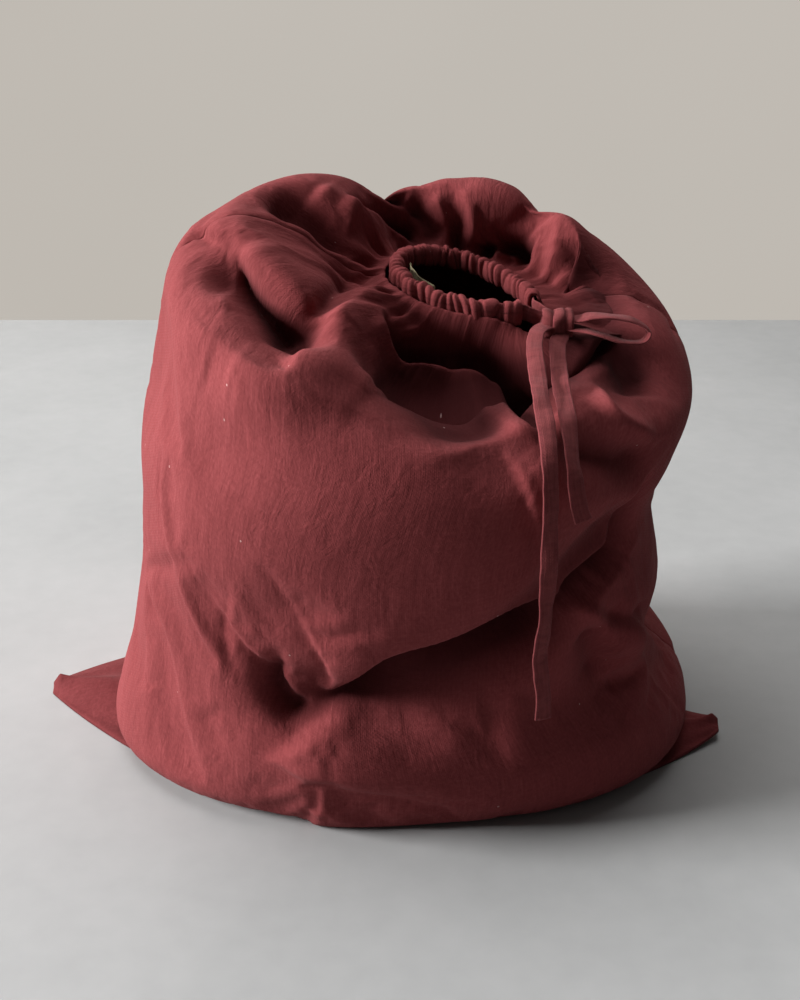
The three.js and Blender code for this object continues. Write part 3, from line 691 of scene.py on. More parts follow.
# %%
# Each kind of pleat: how many, how deep and how far it reaches in millimetres.
GATHERS = ((17, 7.0, 60), (38, 4.6, 36), (74, 2.6, 19))
FLOOR_GAP = 0.0002
GATHER_SEED = 42
rng = np.random.default_rng(GATHER_SEED)
away_from_axis = np.linalg.norm(base[..., :2] - mouth_line(angles)[..., :2].mean(0), axis=-1)
valleys = np.zeros(base.shape[:2])
for count, depth, reach in GATHERS:
    places = (np.arange(count) + rng.uniform(-0.32, 0.32, count)) * 360 / count
    for place in places:
        deep = depth * MM * rng.uniform(0.5, 1.25)
        far = reach * MM * rng.uniform(0.6, 1.35)
        swing = rng.uniform(-9, 9)
        share = np.clip(from_seat / far, 0, 4)
        bent = (angles - place - swing * share + 180) % 360 - 180
        side = np.abs(np.radians(bent)) * away_from_axis
        width = 360 / count * math.pi / 180 * 0.042 * (0.42 + 0.5 * share)
        valleys -= deep * np.exp(-((side / width) ** 2)) * np.exp(-(share**2))
valleys[:, -1] = valleys[:, 0]
cloth += normal * (valleys * (0.2 + 0.8 * seat_share.reshape(valleys.shape)))[..., None]


def soften(grid, times):
    """Evens the grid a little, keeping its rims."""
    for _ in range(times):
        ring = grid[:, :-1]
        even = ring.copy()
        even[1:-1] = 0.5 * ring[1:-1] + 0.125 * (
            ring[2:] + ring[:-2] + np.roll(ring, 1, 1)[1:-1] + np.roll(ring, -1, 1)[1:-1]
        )
        grid = np.concatenate([even, even[:, :1]], 1)
    return grid


cloth = soften(cloth, 2)
cloth[..., 2] = np.maximum(cloth[..., 2], FLOOR_GAP)

# %% [markdown]
# ## Letting the cloth settle
#
# Folds drawn one by one are too tidy. So a coarser copy of the bag is given to Blender's cloth solver with a
# little more cloth than the shape has room for, held at the casing and on the floor. In a few frames the
# spare cloth buckles into small wrinkles between the big folds, as real linen does, and that movement is
# added to the fine grid.

# %%
SPARE_CLOTH = 0.013
SETTLE_FRAMES = 16
SETTLE_MOST = 4 * MM
HELD_ABOVE = 13 * MM
HELD_BELOW = 6 * MM
LINEN_CLOTH = {
    "quality": 6,
    "mass": 0.15,
    "tension_stiffness": 40,
    "compression_stiffness": 40,
    "shear_stiffness": 12,
    "bending_stiffness": 0.4,
    "air_damping": 2,
}


def settled(grid):
    """The grid after a short cloth simulation of every second row and column."""
    coarse = grid[::2, :-1:2]
    rows, columns = coarse.shape[:2]
    faces = []
    for i in range(rows - 1):
        here, above = i * columns, (i + 1) * columns
        for j in range(columns):
            k = (j + 1) % columns
            faces.append((here + j, here + k, above + k, above + j))
    copy = wire_mesh("settling_cloth", coarse.reshape(-1, 3), faces)
    hold = copy.vertex_groups.new(name="hold")
    from_top = from_seat[::2, :-1:2].ravel()
    height = coarse[..., 2].ravel()
    for n in range(rows * columns):
        fixed = from_top[n] < HELD_ABOVE or height[n] < HELD_BELOW
        hold.add([n], 1.0 if fixed else 0.0, "REPLACE")
    solver = copy.modifiers.new("settle", "CLOTH")
    for key, value in LINEN_CLOTH.items():
        setattr(solver.settings, key, value)
    solver.settings.shrink_min = -SPARE_CLOTH
    solver.settings.vertex_group_mass = "hold"
    solver.settings.effector_weights.gravity = 0
    solver.collision_settings.use_collision = False
    solver.point_cache.frame_start = 1
    solver.point_cache.frame_end = SETTLE_FRAMES
    for step in range(1, SETTLE_FRAMES + 1):
        bpy.context.scene.frame_set(step)
    result = copy.evaluated_get(bpy.context.evaluated_depsgraph_get()).to_mesh()
    moved = np.empty(rows * columns * 3)
    result.vertices.foreach_get("co", moved)
    copy.to_mesh_clear()
    bpy.data.objects.remove(copy)
    bpy.context.scene.frame_set(1)
    move = moved.reshape(coarse.shape) - coarse
    size = np.linalg.norm(move, axis=2, keepdims=True)
    move *= np.minimum(1, SETTLE_MOST / np.maximum(size, 1e-9))
    print("settled by, mm: middle", (np.median(size) / MM).round(2), "most", (size.max() / MM).round(2))
    return move


def refined(move):
    """The coarse grid's movement on the fine grid, halfway points evened between their neighbours."""
    wide = np.zeros((ROWS, COLUMNS, 3))
    wide[::2, ::2] = move
    wide[1::2, ::2] = (move[:-1] + move[1:]) / 2
    wide[:, 1::2] = (wide[:, ::2] + np.roll(wide[:, ::2], -1, 1)) / 2
    return np.concatenate([wide, wide[:, :1]], 1)


cloth = cloth + refined(settled(cloth))
cloth[..., 2] = np.maximum(cloth[..., 2], FLOOR_GAP)

# %% [markdown]
# ## The two panels
#
# Front and back are separate pieces of cloth, each a thin closed shell. At the side seams both turn in a
# little, which leaves the fine groove of a sewn edge.

# %%
CLOTH_THICK = 1.2 * MM
SEAM_TURN = 1.4 * MM
SEAM_TURN_WIDTH = 2.6 * MM
BELLY_ROUND = 1.04
INNER_FLOOR_GAP = 0.0006


def grid_normals(grid):
    ring = grid[:, :-1]
    round_ = np.roll(ring, -1, 1) - np.roll(ring, 1, 1)
    upward_ = np.gradient(ring, axis=0)
    out = unit(np.cross(round_, upward_))
    return np.concatenate([out, out[:, :1]], 1)


cloth_normal = grid_normals(cloth)
for seam in (0, 180, 360):
    side = np.abs(np.radians(angles - seam)) * away_from_axis
    turn = SEAM_TURN * np.exp(-((side / SEAM_TURN_WIDTH) ** 2)) * np.clip(stations / 3, 0, 1)
    cloth = cloth - cloth_normal * turn[..., None]
cloth_normal = grid_normals(cloth)


def panel(name, first, last):
    """One panel: its outer face on the fine grid, its inner face on every second row and column."""
    outer = cloth[:, first : last + 1]
    inner = (cloth - cloth_normal * CLOTH_THICK)[::2, first : last + 1 : 2]
    inner = np.where(np.arange(3) == 2, np.maximum(inner, INNER_FLOOR_GAP), inner)
    rows, columns = outer.shape[:2]
    rows_in, columns_in = inner.shape[:2]
    start = rows * columns

    def o(i, j):
        return i * columns + j

    def n(i, j):
        return start + i * columns_in + j

    faces = [
        (o(i, j), o(i, j + 1), o(i + 1, j + 1), o(i + 1, j))
        for i in range(rows - 1)
        for j in range(columns - 1)
    ]
    faces += [
        (n(i, j), n(i + 1, j), n(i + 1, j + 1), n(i, j + 1))
        for i in range(rows_in - 1)
        for j in range(columns_in - 1)
    ]
    # The rims join two fine edges to each coarse one.
    for j in range(columns_in - 1):
        a, b, c = o(0, 2 * j), o(0, 2 * j + 1), o(0, 2 * j + 2)
        faces += [(b, a, n(0, j)), (b, n(0, j), n(0, j + 1)), (c, b, n(0, j + 1))]
        a, b, c = o(rows - 1, 2 * j), o(rows - 1, 2 * j + 1), o(rows - 1, 2 * j + 2)
        top = rows_in - 1
        faces += [(a, b, n(top, j)), (b, n(top, j + 1), n(top, j)), (b, c, n(top, j + 1))]
    for i in range(rows_in - 1):
        a, b, c = o(2 * i, 0), o(2 * i + 1, 0), o(2 * i + 2, 0)
        faces += [(a, b, n(i, 0)), (b, n(i + 1, 0), n(i, 0)), (b, c, n(i + 1, 0))]
        a, b, c = o(2 * i, columns - 1), o(2 * i + 1, columns - 1), o(2 * i + 2, columns - 1)
        edge = columns_in - 1
        faces += [(b, a, n(i, edge)), (b, n(i, edge), n(i + 1, edge)), (c, b, n(i + 1, edge))]
    uv = np.stack([np.broadcast_to(angles / 360 * BELLY_ROUND, (ROWS, COLUMNS + 1)), climb], -1)
    both = np.vstack([uv[:, first : last + 1].reshape(-1, 2), uv[::2, first : last + 1 : 2].reshape(-1, 2)])
    points = np.vstack([outer.reshape(-1, 3), inner.reshape(-1, 3)]) + SHIFT
    # Each point's share of painted fold shade.
    deep = np.concatenate([hollow[:, first : last + 1].ravel(), hollow[::2, first : last + 1 : 2].ravel()])
    piece = wire_mesh(name, points, faces, both, deep.astype(np.float32))
    print(name, "faces", len(piece.data.polygons))
    return piece


back_cloth = panel("back_cloth", 0, COLUMNS // 2)
front_cloth = panel("front_cloth", COLUMNS // 2, COLUMNS)

for piece, node in ((back_cloth, "back_panel"), (front_cloth, "front_panel")):
    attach(piece, "bag")
    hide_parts(node)

# %% [markdown]
# ## The gathered casing
#
# The top edge is turned over and sewn down as a tube. Drawn together on the string it scrunches into a
# thick ring of small uneven pleats, and it stays open at the tip, where both ends of the string come out.

# %%
CASING_THICK = 9.6 * MM
CASING_TALL = 12.8 * MM
EXIT_OPENING = 30
CASING_AROUND = 44
CASING_STEPS = 620
CASING_PLEATS = 62
CASING_SEED = 7
CASING_ROUND = 0.55
# Half the room for the string in millimetres, across and up.
STRING_ROOM = (1.8, 4.9)


def rounded(turn, power):
    return squared(np.cos(turn), power), squared(np.sin(turn), power)


def casing_tube():
    rng = np.random.default_rng(CASING_SEED)
    ways = np.linspace(TIP_ANGLE + EXIT_OPENING / 2, TIP_ANGLE + 360 - EXIT_OPENING / 2, CASING_STEPS)
    turns = np.linspace(0, 2 * math.pi, CASING_AROUND, endpoint=False)
    out, drop = rounded(turns, 0.75)
    gap = 360 / CASING_PLEATS
    places = TIP_ANGLE + (np.arange(CASING_PLEATS) + rng.uniform(-0.3, 0.3, CASING_PLEATS)) * gap
    pleat = np.zeros((CASING_STEPS, CASING_AROUND))
    for place in places:
        deep = rng.uniform(1.0, 2.9) * MM
        wide = gap * rng.uniform(0.2, 0.34)
        skew = rng.uniform(-3.2, 3.2) * np.sin(turns + rng.uniform(0, 2 * math.pi))
        bent = (ways[:, None] - place - skew[None, :] + 180) % 360 - 180
        uneven = 0.75 + 0.25 * np.cos(turns - rng.uniform(0, 2 * math.pi))
        pleat -= deep * np.exp(-np.abs(bent / wide) ** 1.3) * uneven
    billow = 0.9 * MM * np.cos(np.radians(ways[:, None] * 13)) * np.sin(turns + 1.0)
    # The hemmed ends at the exit stand up and open a little.
    end = np.minimum(ways - ways[0], ways[-1] - ways)[:, None]
    flare = 1 + 0.16 * np.exp(-((end / 9) ** 2))
    grow = (pleat + billow) * (1 - 0.75 * np.exp(-((end / 4) ** 2)))
    radial = out * (CASING_THICK / 2 + grow) * (1 - 0.12 * np.exp(-((end / 7) ** 2)))
    raise_ = -drop * (CASING_TALL / 2 + grow) * flare
    skin = np.stack([mouth_point(ways, radial[:, j], raise_[:, j]) for j in range(CASING_AROUND)], 1)
    hole_out, hole_drop = rounded(turns, 0.5)
    hole = np.stack(
        [
            mouth_point(ways, np.full(len(ways), o * STRING_ROOM[0] * MM), -d * STRING_ROOM[1] * MM)
            for o, d in zip(hole_out, hole_drop)
        ],
        1,
    )
    rings = np.concatenate([skin, hole[::-1][::8]])
    across = np.cumsum(np.full(CASING_AROUND, 1.1 * MM))
    along = np.concatenate([ways / 360 * CASING_ROUND, ways[::-1][::8] / 360 * CASING_ROUND])
    uv = np.stack(np.broadcast_arrays(along[:, None], across[None, :]), -1).reshape(-1, 2)
    faces = tube_faces(len(rings), CASING_AROUND, looped=True)
    return wire_mesh("gathered_casing", rings.reshape(-1, 3) + SHIFT, faces, uv)


casing = casing_tube()
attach(casing, "bag")
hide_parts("casing")

# %% [markdown]
# ## The string inside the casing, and the knot
#
# One strip goes all the way round inside the casing, bends out through the opening and meets itself in the
# knot. The knot is the strip wrapped three times round its own ends and pulled small.

# %%
KNOT_OUT = 16.6 * MM
KNOT_DROP = 5 * MM
KNOT_WIDE = 17.5 * MM
KNOT_RADIUS = 7.9 * MM
WRAP_THICK = 2.8 * MM
tip_out = np.array([math.cos(math.radians(TIP_ANGLE)), math.sin(math.radians(TIP_ANGLE)), 0])
knot_at = mouth_line(TIP_ANGLE) + tip_out * KNOT_OUT - np.array([0, 0, KNOT_DROP])


def string_stops():
    bend = ((11, 0.02), (8, 0.14), (6, 0.32))
    stops = [knot_at]
    stops += [mouth_point(TIP_ANGLE + a, o * KNOT_OUT, -o * KNOT_DROP) for a, o in bend[::-1]]
    stops += list(mouth_line(np.linspace(TIP_ANGLE + 18, TIP_ANGLE + 342, 28)))
    stops += [mouth_point(TIP_ANGLE - a, o * KNOT_OUT, -o * KNOT_DROP) for a, o in bend]
    return [(tuple(stop / MM), (0, 0, 1)) for stop in stops + [knot_at]]


string_run, _ = strip("drawstring_run", string_stops(), 6, ripple=0.1 * MM, seed=11)
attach(string_run, "bag")
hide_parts("drawstring_in_casing")


def knot_wrap(middle, radius, width, lean, turn, squash):
    """One closed turn of the strip round the knot's own axis, as points and texture places."""
    rings, uv = [], []
    steps, sides = 56, 16
    for i in range(steps):
        a = 2 * math.pi * i / steps
        away = np.array([0, math.cos(a), math.sin(a) * squash])
        axis = unit(np.array([1.0, lean * math.cos(a), turn * math.sin(a)]))
        puff = 1 + 0.05 * math.sin(3 * a + middle * 900) + 0.03 * math.sin(5 * a + 1)
        for j in range(sides):
            b = 2 * math.pi * j / sides
            x = float(squared(np.cos(b), 0.75)) * width / 2
            h = float(squared(np.sin(b), 0.75)) * WRAP_THICK / 2 * (1 - 0.25 * abs(math.cos(b)))
            rings.append(knot_at + np.array([middle, 0, 0]) + axis * x + away * (radius * puff + h))
            uv.append((x, a * radius))
    faces = tube_faces(steps, sides, looped=True)
    return np.array(rings), uv, [tuple(face[::-1]) for face in faces]


def knot_core():
    rings, uv = [], []
    for i, share in enumerate(np.linspace(-1, 1, 17)):
        radius = KNOT_RADIUS * 0.86 * math.sqrt(max(0.03, 1 - abs(share) ** 3))
        for j in range(24):
            a = 2 * math.pi * j / 24
            away = [share * KNOT_WIDE * 0.5, math.cos(a) * radius, math.sin(a) * radius]
            rings.append(knot_at + np.array(away))
            uv.append((0.001, a * radius))
    return np.array(rings), uv, tube_faces(17, 24)


def wrapped_knot():
    parts = [
        knot_core(),
        knot_wrap(-5.0 * MM, 6.4 * MM, 6.2 * MM, 0.34, -0.2, 1.06),
        knot_wrap(0.8 * MM, 7.5 * MM, 7.2 * MM, -0.22, 0.3, 0.94),
        knot_wrap(6.0 * MM, 6.3 * MM, 5.8 * MM, 0.3, 0.12, 1.08),
    ]
    points, uv, faces = [], [], []
    for part_points, part_uv, part_faces in parts:
        start = sum(len(p) for p in points)
        points.append(part_points)
        uv += list(part_uv)
        faces += [tuple(start + n for n in face) for face in part_faces]
    return wire_mesh("wrapped_knot", np.vstack(points) + SHIFT, faces, uv)


knot = wrapped_knot()
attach(knot, "bag")
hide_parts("knot")

# %% [markdown]
# ## The blank tape inside the mouth
#
# A short length of beige cotton tape is sewn under the casing at the front left. It carries nothing.

# %%
TAPE_ANGLE = 212
TAPE_LENGTH = 22 * MM
TAPE_DROP = 10.5 * MM
TAPE_IN = 8.1 * MM


def tape():
    radius = (MOUTH_WIDTH + MOUTH_DEPTH) / 4 - TAPE_IN
    half = math.degrees(TAPE_LENGTH / 2 / radius)
    ways = np.linspace(TAPE_ANGLE - half, TAPE_ANGLE + half, 40)
    downs = np.linspace(0.4, -1, 18)
    rings, uv = [], []
    for i, way in enumerate(ways):
        for side, order in ((0, downs), (1, downs[::-1])):
            for down in order:
                curl = 1.1 * MM * max(0, -down) ** 2 * math.sin(way / 11) + 0.35 * MM * math.sin(way / 4.5)
                edge = min(1.0, (1 - abs((down + 0.3) / 0.7)) * 9 + 0.25)
                thick = 0.9 * MM * edge
                rings.append(mouth_point(way, -TAPE_IN + 0.4 * MM - curl - side * thick, down * TAPE_DROP))
                uv.append((i / 39 * TAPE_LENGTH, down * TAPE_DROP))
    return wire_mesh("blank_tape", np.array(rings) + SHIFT, tube_faces(len(ways), 36), uv)


blank_tape = tape()
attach(blank_tape, "bag")
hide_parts("inner_tape")

# %% [markdown]
# ## The bottom corners
#
# Where the filling stops, both panels run on flat to the sewn corner and lie on the floor like an ear. The
# two layers are pinched along the middle and pressed thin at the seam round the edge.

# %%
# The side is -1 on the left. The rest is in millimetres: how far the tip reaches, where it is from front to
# back, the two ends of the line against the bag, how high the middle stands, how far the tip curls up, and
# its width.
LEFT_EAR = {
    "side": -1, "reach": 51, "tip_at": 15, "front": (-27, -87), "back": (9, 67),
    "ridge": 9, "curl": 0, "blunt": 9,
}
RIGHT_EAR = {
    "side": 1, "reach": 21, "tip_at": -36, "front": (-50, -106), "back": (-6, 4),
    "ridge": 7, "curl": 6, "blunt": 13,
}
EAR_ROOT = 25 * MM
EAR_ROWS = 56
EAR_ACROSS = 72
EAR_THICK = 3.2 * MM
# How much painted shade darkens the ears' colour.
EAR_PAINTED_SHADE = 0.4


def ear(name, side, reach, tip_at, front, back, ridge, curl, blunt):
    def place(out, y):
        return np.array([side * (BAG_WIDTH / 2 + out * MM), y * MM, 0])

    tip, front_end, back_end = place(reach, tip_at), place(*front), place(*back)
    inside = np.array([-side * EAR_ROOT, 0, 0])
    us = np.linspace(0, 0.97, EAR_ROWS)
    vs = np.linspace(0, 1, EAR_ACROSS) if side < 0 else np.linspace(1, 0, EAR_ACROSS)
    top, under, uv = [], [], []
    for u in us:
        for v in vs:
            root = front_end + (back_end - front_end) * v + inside * (1 - u)
            end = tip + np.array([0, (v - 0.5) * blunt * MM * (1 if back[1] > front[1] else -1), 0])
            point = root + (end - root) * u
            fold = math.exp(-(((v - 0.5) / 0.22) ** 2))
            puff = (max(0.0, 1 - abs(2 * v - 1) ** 4)) ** 0.5 * min(1.0, (1 - u) * 9)
            wrinkle = 0.8 * math.sin(u * 11 + v * 5) * fold + 0.6 * math.sin(v * 21 + u * 4) * puff
            lifted = curl * MM * u**4
            height = lifted + EAR_THICK * (0.42 + 0.58 * puff) + (ridge * fold * puff + wrinkle) * MM
            top.append(point + np.array([0, 0, max(height, 0.8 * MM)]))
            under.append(point + np.array([0, 0, max(lifted - 0.2 * MM, 0.1 * MM)]))
            uv.append((point[1], point[0]))
    count = EAR_ACROSS
    rings, ring_uv = [], []
    for i in range(EAR_ROWS):
        rings += top[i * count : (i + 1) * count] + under[i * count : (i + 1) * count][::-1]
        ring_uv += uv[i * count : (i + 1) * count] + uv[i * count : (i + 1) * count][::-1]
    faces = tube_faces(EAR_ROWS, 2 * count)
    # The ears get some of the folds' painted shade too, a darker colour standing for the shade they lie in.
    return wire_mesh(name, np.array(rings) + SHIFT, faces, ring_uv, np.full(len(rings), EAR_PAINTED_SHADE))


left_ear = ear("left_ear", **LEFT_EAR)
right_ear = ear("right_ear", **RIGHT_EAR)
for piece, node in ((left_ear, "left_corner"), (right_ear, "right_corner")):
    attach(piece, "bag")
    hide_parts(node)

# %% [markdown]
# ## The seams inside
#
# Both side seams stand in from the cloth as narrow double strips, and the bottom seam lies along the floor
# inside.

# %%
SEAM_WIDTH = 9 * MM
SEAM_THICK = 1.5 * MM
SIDE_SEAM_FROM = 3.5
SIDE_SEAM_TO = 11
SIDE_SEAM_IN = 2.2
BOTTOM_SEAM_HALF = 0.138
BOTTOM_SEAM_UP = 3.3 * MM
BOTTOM_SEAM_STEPS = 90
SEAM_SIDES = 12


def seam_rings(line, inward, sideways, wave):
    rings, uv = [], []
    travel = 0.0
    for i, point in enumerate(line):
        travel += float(np.linalg.norm(point - line[i - 1])) if i else 0.0
        for a in np.linspace(0, 2 * math.pi, SEAM_SIDES, endpoint=False):
            depth = (0.5 - 0.5 * float(squared(np.cos(a), 0.4))) * SEAM_WIDTH
            swing = wave * math.sin(travel * 130) * depth / SEAM_WIDTH
            side = float(squared(np.sin(a), 0.6)) * SEAM_THICK / 2 + swing
            rings.append(point + inward[i] * depth + sideways[i] * side)
            uv.append((depth, travel))
    return np.array(rings), uv


def side_seam(name, column, side):
    rows = np.where((stations[:, column] > SIDE_SEAM_FROM) & (stations[:, column] < SIDE_SEAM_TO))[0][::2]
    inward = -cloth_normal[rows, column]
    line = cloth[rows, column] + inward * SIDE_SEAM_IN * MM
    sideways = np.tile([0.0, float(side), 0.0], (len(rows), 1))
    rings, uv = seam_rings(line, inward, sideways, 0.7 * MM)
    return wire_mesh(name, rings + SHIFT, tube_faces(len(rows), SEAM_SIDES), uv)


def bottom_seam():
    steps = BOTTOM_SEAM_STEPS
    xs = np.linspace(-BOTTOM_SEAM_HALF, BOTTOM_SEAM_HALF, steps)
    line = np.stack([xs, np.full(steps, -SEAM_WIDTH / 2), np.full(steps, BOTTOM_SEAM_UP)], 1)
    inward = np.tile([0.0, 1.0, 0.0], (steps, 1))
    sideways = np.tile([0.0, 0.0, 1.0], (steps, 1))
    rings, uv = seam_rings(line, inward, sideways, 0.3 * MM)
    return wire_mesh("bottom_inner_seam", rings + SHIFT, tube_faces(steps, SEAM_SIDES), uv)


left_seam = side_seam("left_inner_seam", COLUMNS // 2, 1)
right_seam = side_seam("right_inner_seam", 0, -1)
floor_seam = bottom_seam()
for piece, node in (
    (left_seam, "left_side_seam"),
    (right_seam, "right_side_seam"),
    (floor_seam, "bottom_seam"),
):
    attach(piece, "bag")
    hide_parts(node)

# %% [markdown]
# ## Finishes: a way to write shader sums
#
# A finish is worked out from places on the cloth. `Wire` lets a shader value be added and multiplied like a
# number, and `Graph.node` makes any other node.

# %%
class Wire:
    """A shader value that takes part in sums."""

    def __init__(self, graph, socket):
        self.graph = graph
        self.socket = socket

    def __add__(self, other):
        return self.graph.math("ADD", self, other)

    def __radd__(self, other):
        return self.graph.math("ADD", other, self)

    def __sub__(self, other):
        return self.graph.math("SUBTRACT", self, other)

    def __rsub__(self, other):
        return self.graph.math("SUBTRACT", other, self)

    def __mul__(self, other):
        return self.graph.math("MULTIPLY", self, other)

    def __rmul__(self, other):
        return self.graph.math("MULTIPLY", other, self)

    def __truediv__(self, other):
        return self.graph.math("DIVIDE", self, other)

    def __gt__(self, other):
        return self.graph.math("GREATER_THAN", self, other)

    def __lt__(self, other):
        return self.graph.math("LESS_THAN", self, other)


class Graph:
    """The node tree of one finish."""

    def __init__(self, name):
        self.material = bpy.data.materials.new(name)
        self.material.use_nodes = True
        self.tree = self.material.node_tree
        self.principled = self.tree.nodes["Principled BSDF"]

    def feed(self, socket, value):
        if isinstance(value, Wire):
            self.tree.links.new(value.socket, socket)
        elif value is not None:
            socket.default_value = value

    def node(self, kind, settings=None, inputs=None, output=0):
        made = self.tree.nodes.new(kind)
        for key, value in (settings or {}).items():
            setattr(made, key, value)
        for key, value in (inputs or {}).items():
            self.feed(made.inputs[key], value)
        return Wire(self, made.outputs[output])

    def math(self, operation, first, second=None):
        return self.node("ShaderNodeMath", {"operation": operation}, {0: first, 1: second})

    def vector(self, x, y, z=0.0):
        return self.node("ShaderNodeCombineXYZ", None, {"X": x, "Y": y, "Z": z})

    def noise(self, place, detail=2.0, roughness=0.5, distortion=0.0, scale=1.0):
        values = {"Vector": place, "Scale": scale, "Detail": detail}
        values.update({"Roughness": roughness, "Distortion": distortion})
        return self.node("ShaderNodeTexNoise", None, values)

    def mix(self, share, first, second):
        mixed = self.node("ShaderNodeMix", {"data_type": "RGBA", "clamp_factor": True})
        made = mixed.socket.node
        self.feed(made.inputs["Factor"], share)
        self.feed(made.inputs[6], first)
        self.feed(made.inputs[7], second)
        return Wire(self, made.outputs[2])

    def cloth_place(self):
        """The place on the cloth in metres: across and up, or across and along a strip."""
        place = self.node("ShaderNodeUVMap", {"uv_map": "cloth"})
        split = self.node("ShaderNodeSeparateXYZ", None, {"Vector": place})
        return split, Wire(self, split.socket.node.outputs[1])

    def weave(self, u, v):
        """Plain weave: the threads across and the threads up lie on top by turns."""
        sin_u = self.math("SINE", u * (math.pi / THREAD))
        sin_v = self.math("SINE", v * (math.pi / THREAD))
        over = (sin_u * sin_v) > 0.0
        return self.math("ABSOLUTE", sin_u) * over + self.math("ABSOLUTE", sin_v) * (1.0 - over)

    def finish(self, color, roughness, height, **constants):
        self.feed(self.principled.inputs["Base Color"], color)
        self.feed(self.principled.inputs["Roughness"], roughness)
        bump = self.node("ShaderNodeBump", None, {"Height": height, "Distance": 1.0, "Strength": 1.0})
        self.feed(self.principled.inputs["Normal"], bump)
        for key, value in constants.items():
            self.principled.inputs[key.replace("_", " ")].default_value = value
        return self.material


# %% [markdown]
# ## Washed linen
#
# Linen is a plain weave of uneven flax threads. Washing leaves soft vertical crinkles a few centimetres long,
# and their crests are coloured paler. The bottoms of deep folds are coloured darker, as painted shade. Thick
# places in the thread, slubs, show as short dashes both ways, and a little pale lint sticks to the nap.

# %%
THREAD = 0.85 * MM
WINE_DARK = (0.110, 0.017, 0.019, 1)
WINE = (0.195, 0.037, 0.039, 1)
WINE_PALE = (0.285, 0.065, 0.069, 1)
# The colour of the painted shade in the bottoms of deep folds.
WINE_PAINTED_SHADE = (0.050, 0.007, 0.008, 1)
LINT = (0.55, 0.36, 0.34, 1)
CRINKLE_DEPTH = 0.25 * MM
STREAK = 0.45
PAINTED_SHADE_STRENGTH = 0.85


def linen_finish():
    g = Graph("washed_linen")
    u, v = g.cloth_place()
    ribs = g.weave(u, v)
    warp_slub = g.noise(g.vector(u * 820, v * 42), detail=1.5)
    weft_slub = g.noise(g.vector(u * 46, v * 760, 4.0), detail=1.5)
    drift = g.noise(g.vector(u * 18, v * 18, 9.0), detail=2) * 0.9
    crinkled = g.vector(u * 210 + drift * 2.2, v * 26, 2.0)
    crinkle = g.noise(crinkled, detail=3.5, roughness=0.55, distortion=0.35)
    long_crinkled = g.vector(u * 95 + drift * 3.0, v * 11, 6.0)
    long_crinkle = g.noise(long_crinkled, detail=2.5, roughness=0.5, distortion=0.4)
    cloud = g.noise(g.vector(u * 9, v * 7, 3.0), detail=3)
    grain = g.noise(g.vector(u * 640, v * 420, 7.0), detail=1.5, roughness=0.6)
    pucker = g.noise(g.vector(u * 75, v * 60, 12.0), detail=3, roughness=0.55, distortion=0.6)
    crest = (crinkle - 0.5) * 1.1 + (long_crinkle - 0.5) * 0.7
    threads = (warp_slub - 0.5) * 0.5 + (weft_slub - 0.5) * 0.35 + (grain - 0.5) * 0.9
    tone = 0.5 + STREAK * crest * 0.5 + threads * 0.6 + (cloud - 0.5) * 0.5
    dark_to_mid = g.mix(tone * 2.0, WINE_DARK, WINE)
    color = g.mix(tone * 2.0 - 1.0, dark_to_mid, WINE_PALE)
    # Painted shade: the sunk folds' colour is darkened by their share of it.
    painted_shade_share = g.node("ShaderNodeAttribute", {"attribute_name": "hollow"}, None, output=2)
    color = g.mix(painted_shade_share * PAINTED_SHADE_STRENGTH, color, WINE_PAINTED_SHADE)
    cell = g.node("ShaderNodeTexVoronoi", None, {"Vector": g.vector(u * 95, v * 95), "Scale": 1.0})
    tag = g.node("ShaderNodeSeparateColor", None, {"Color": Wire(g, cell.socket.node.outputs["Color"])})
    speck = (cell < 0.055) * (tag > 0.8)
    color = g.mix(speck * 0.6, color, LINT)
    height = ribs * (0.05 * MM) + crest * CRINKLE_DEPTH + threads * (0.16 * MM)
    height = height + (pucker - 0.5) * (1.0 * MM)
    sheen = {"Specular_IOR_Level": 0.12, "Sheen_Weight": 0.015, "Sheen_Roughness": 0.5}
    return g.finish(color, 0.86 + crinkle * 0.12, height, **sheen)


# %% [markdown]
# ## The stitched strip, the tape and the floor
#
# The strip is the same linen folded lengthways, so its weave is finer to the eye and a row of stitches runs
# along each edge. The tape is plain undyed cotton, coloured darker as painted shade for the shadow under the
# casing. The floor is smooth pale concrete and the wall behind it is painted.

# %%
STITCH = 2.6 * MM
STITCH_THREAD = (0.20, 0.032, 0.040, 1)
# The tape's two tones are beige darkened as painted shade for the shadow under the casing.
TAPE_SHADED_DARK = (0.13, 0.11, 0.06, 1)
TAPE_SHADED_PALE = (0.30, 0.26, 0.16, 1)
TAPE_RIB = 0.9 * MM
FLOOR_DARK = (0.32, 0.325, 0.325, 1)
FLOOR_PALE = (0.43, 0.43, 0.43, 1)
WALL_DARK = (0.50, 0.465, 0.42, 1)
WALL_PALE = (0.55, 0.515, 0.47, 1)


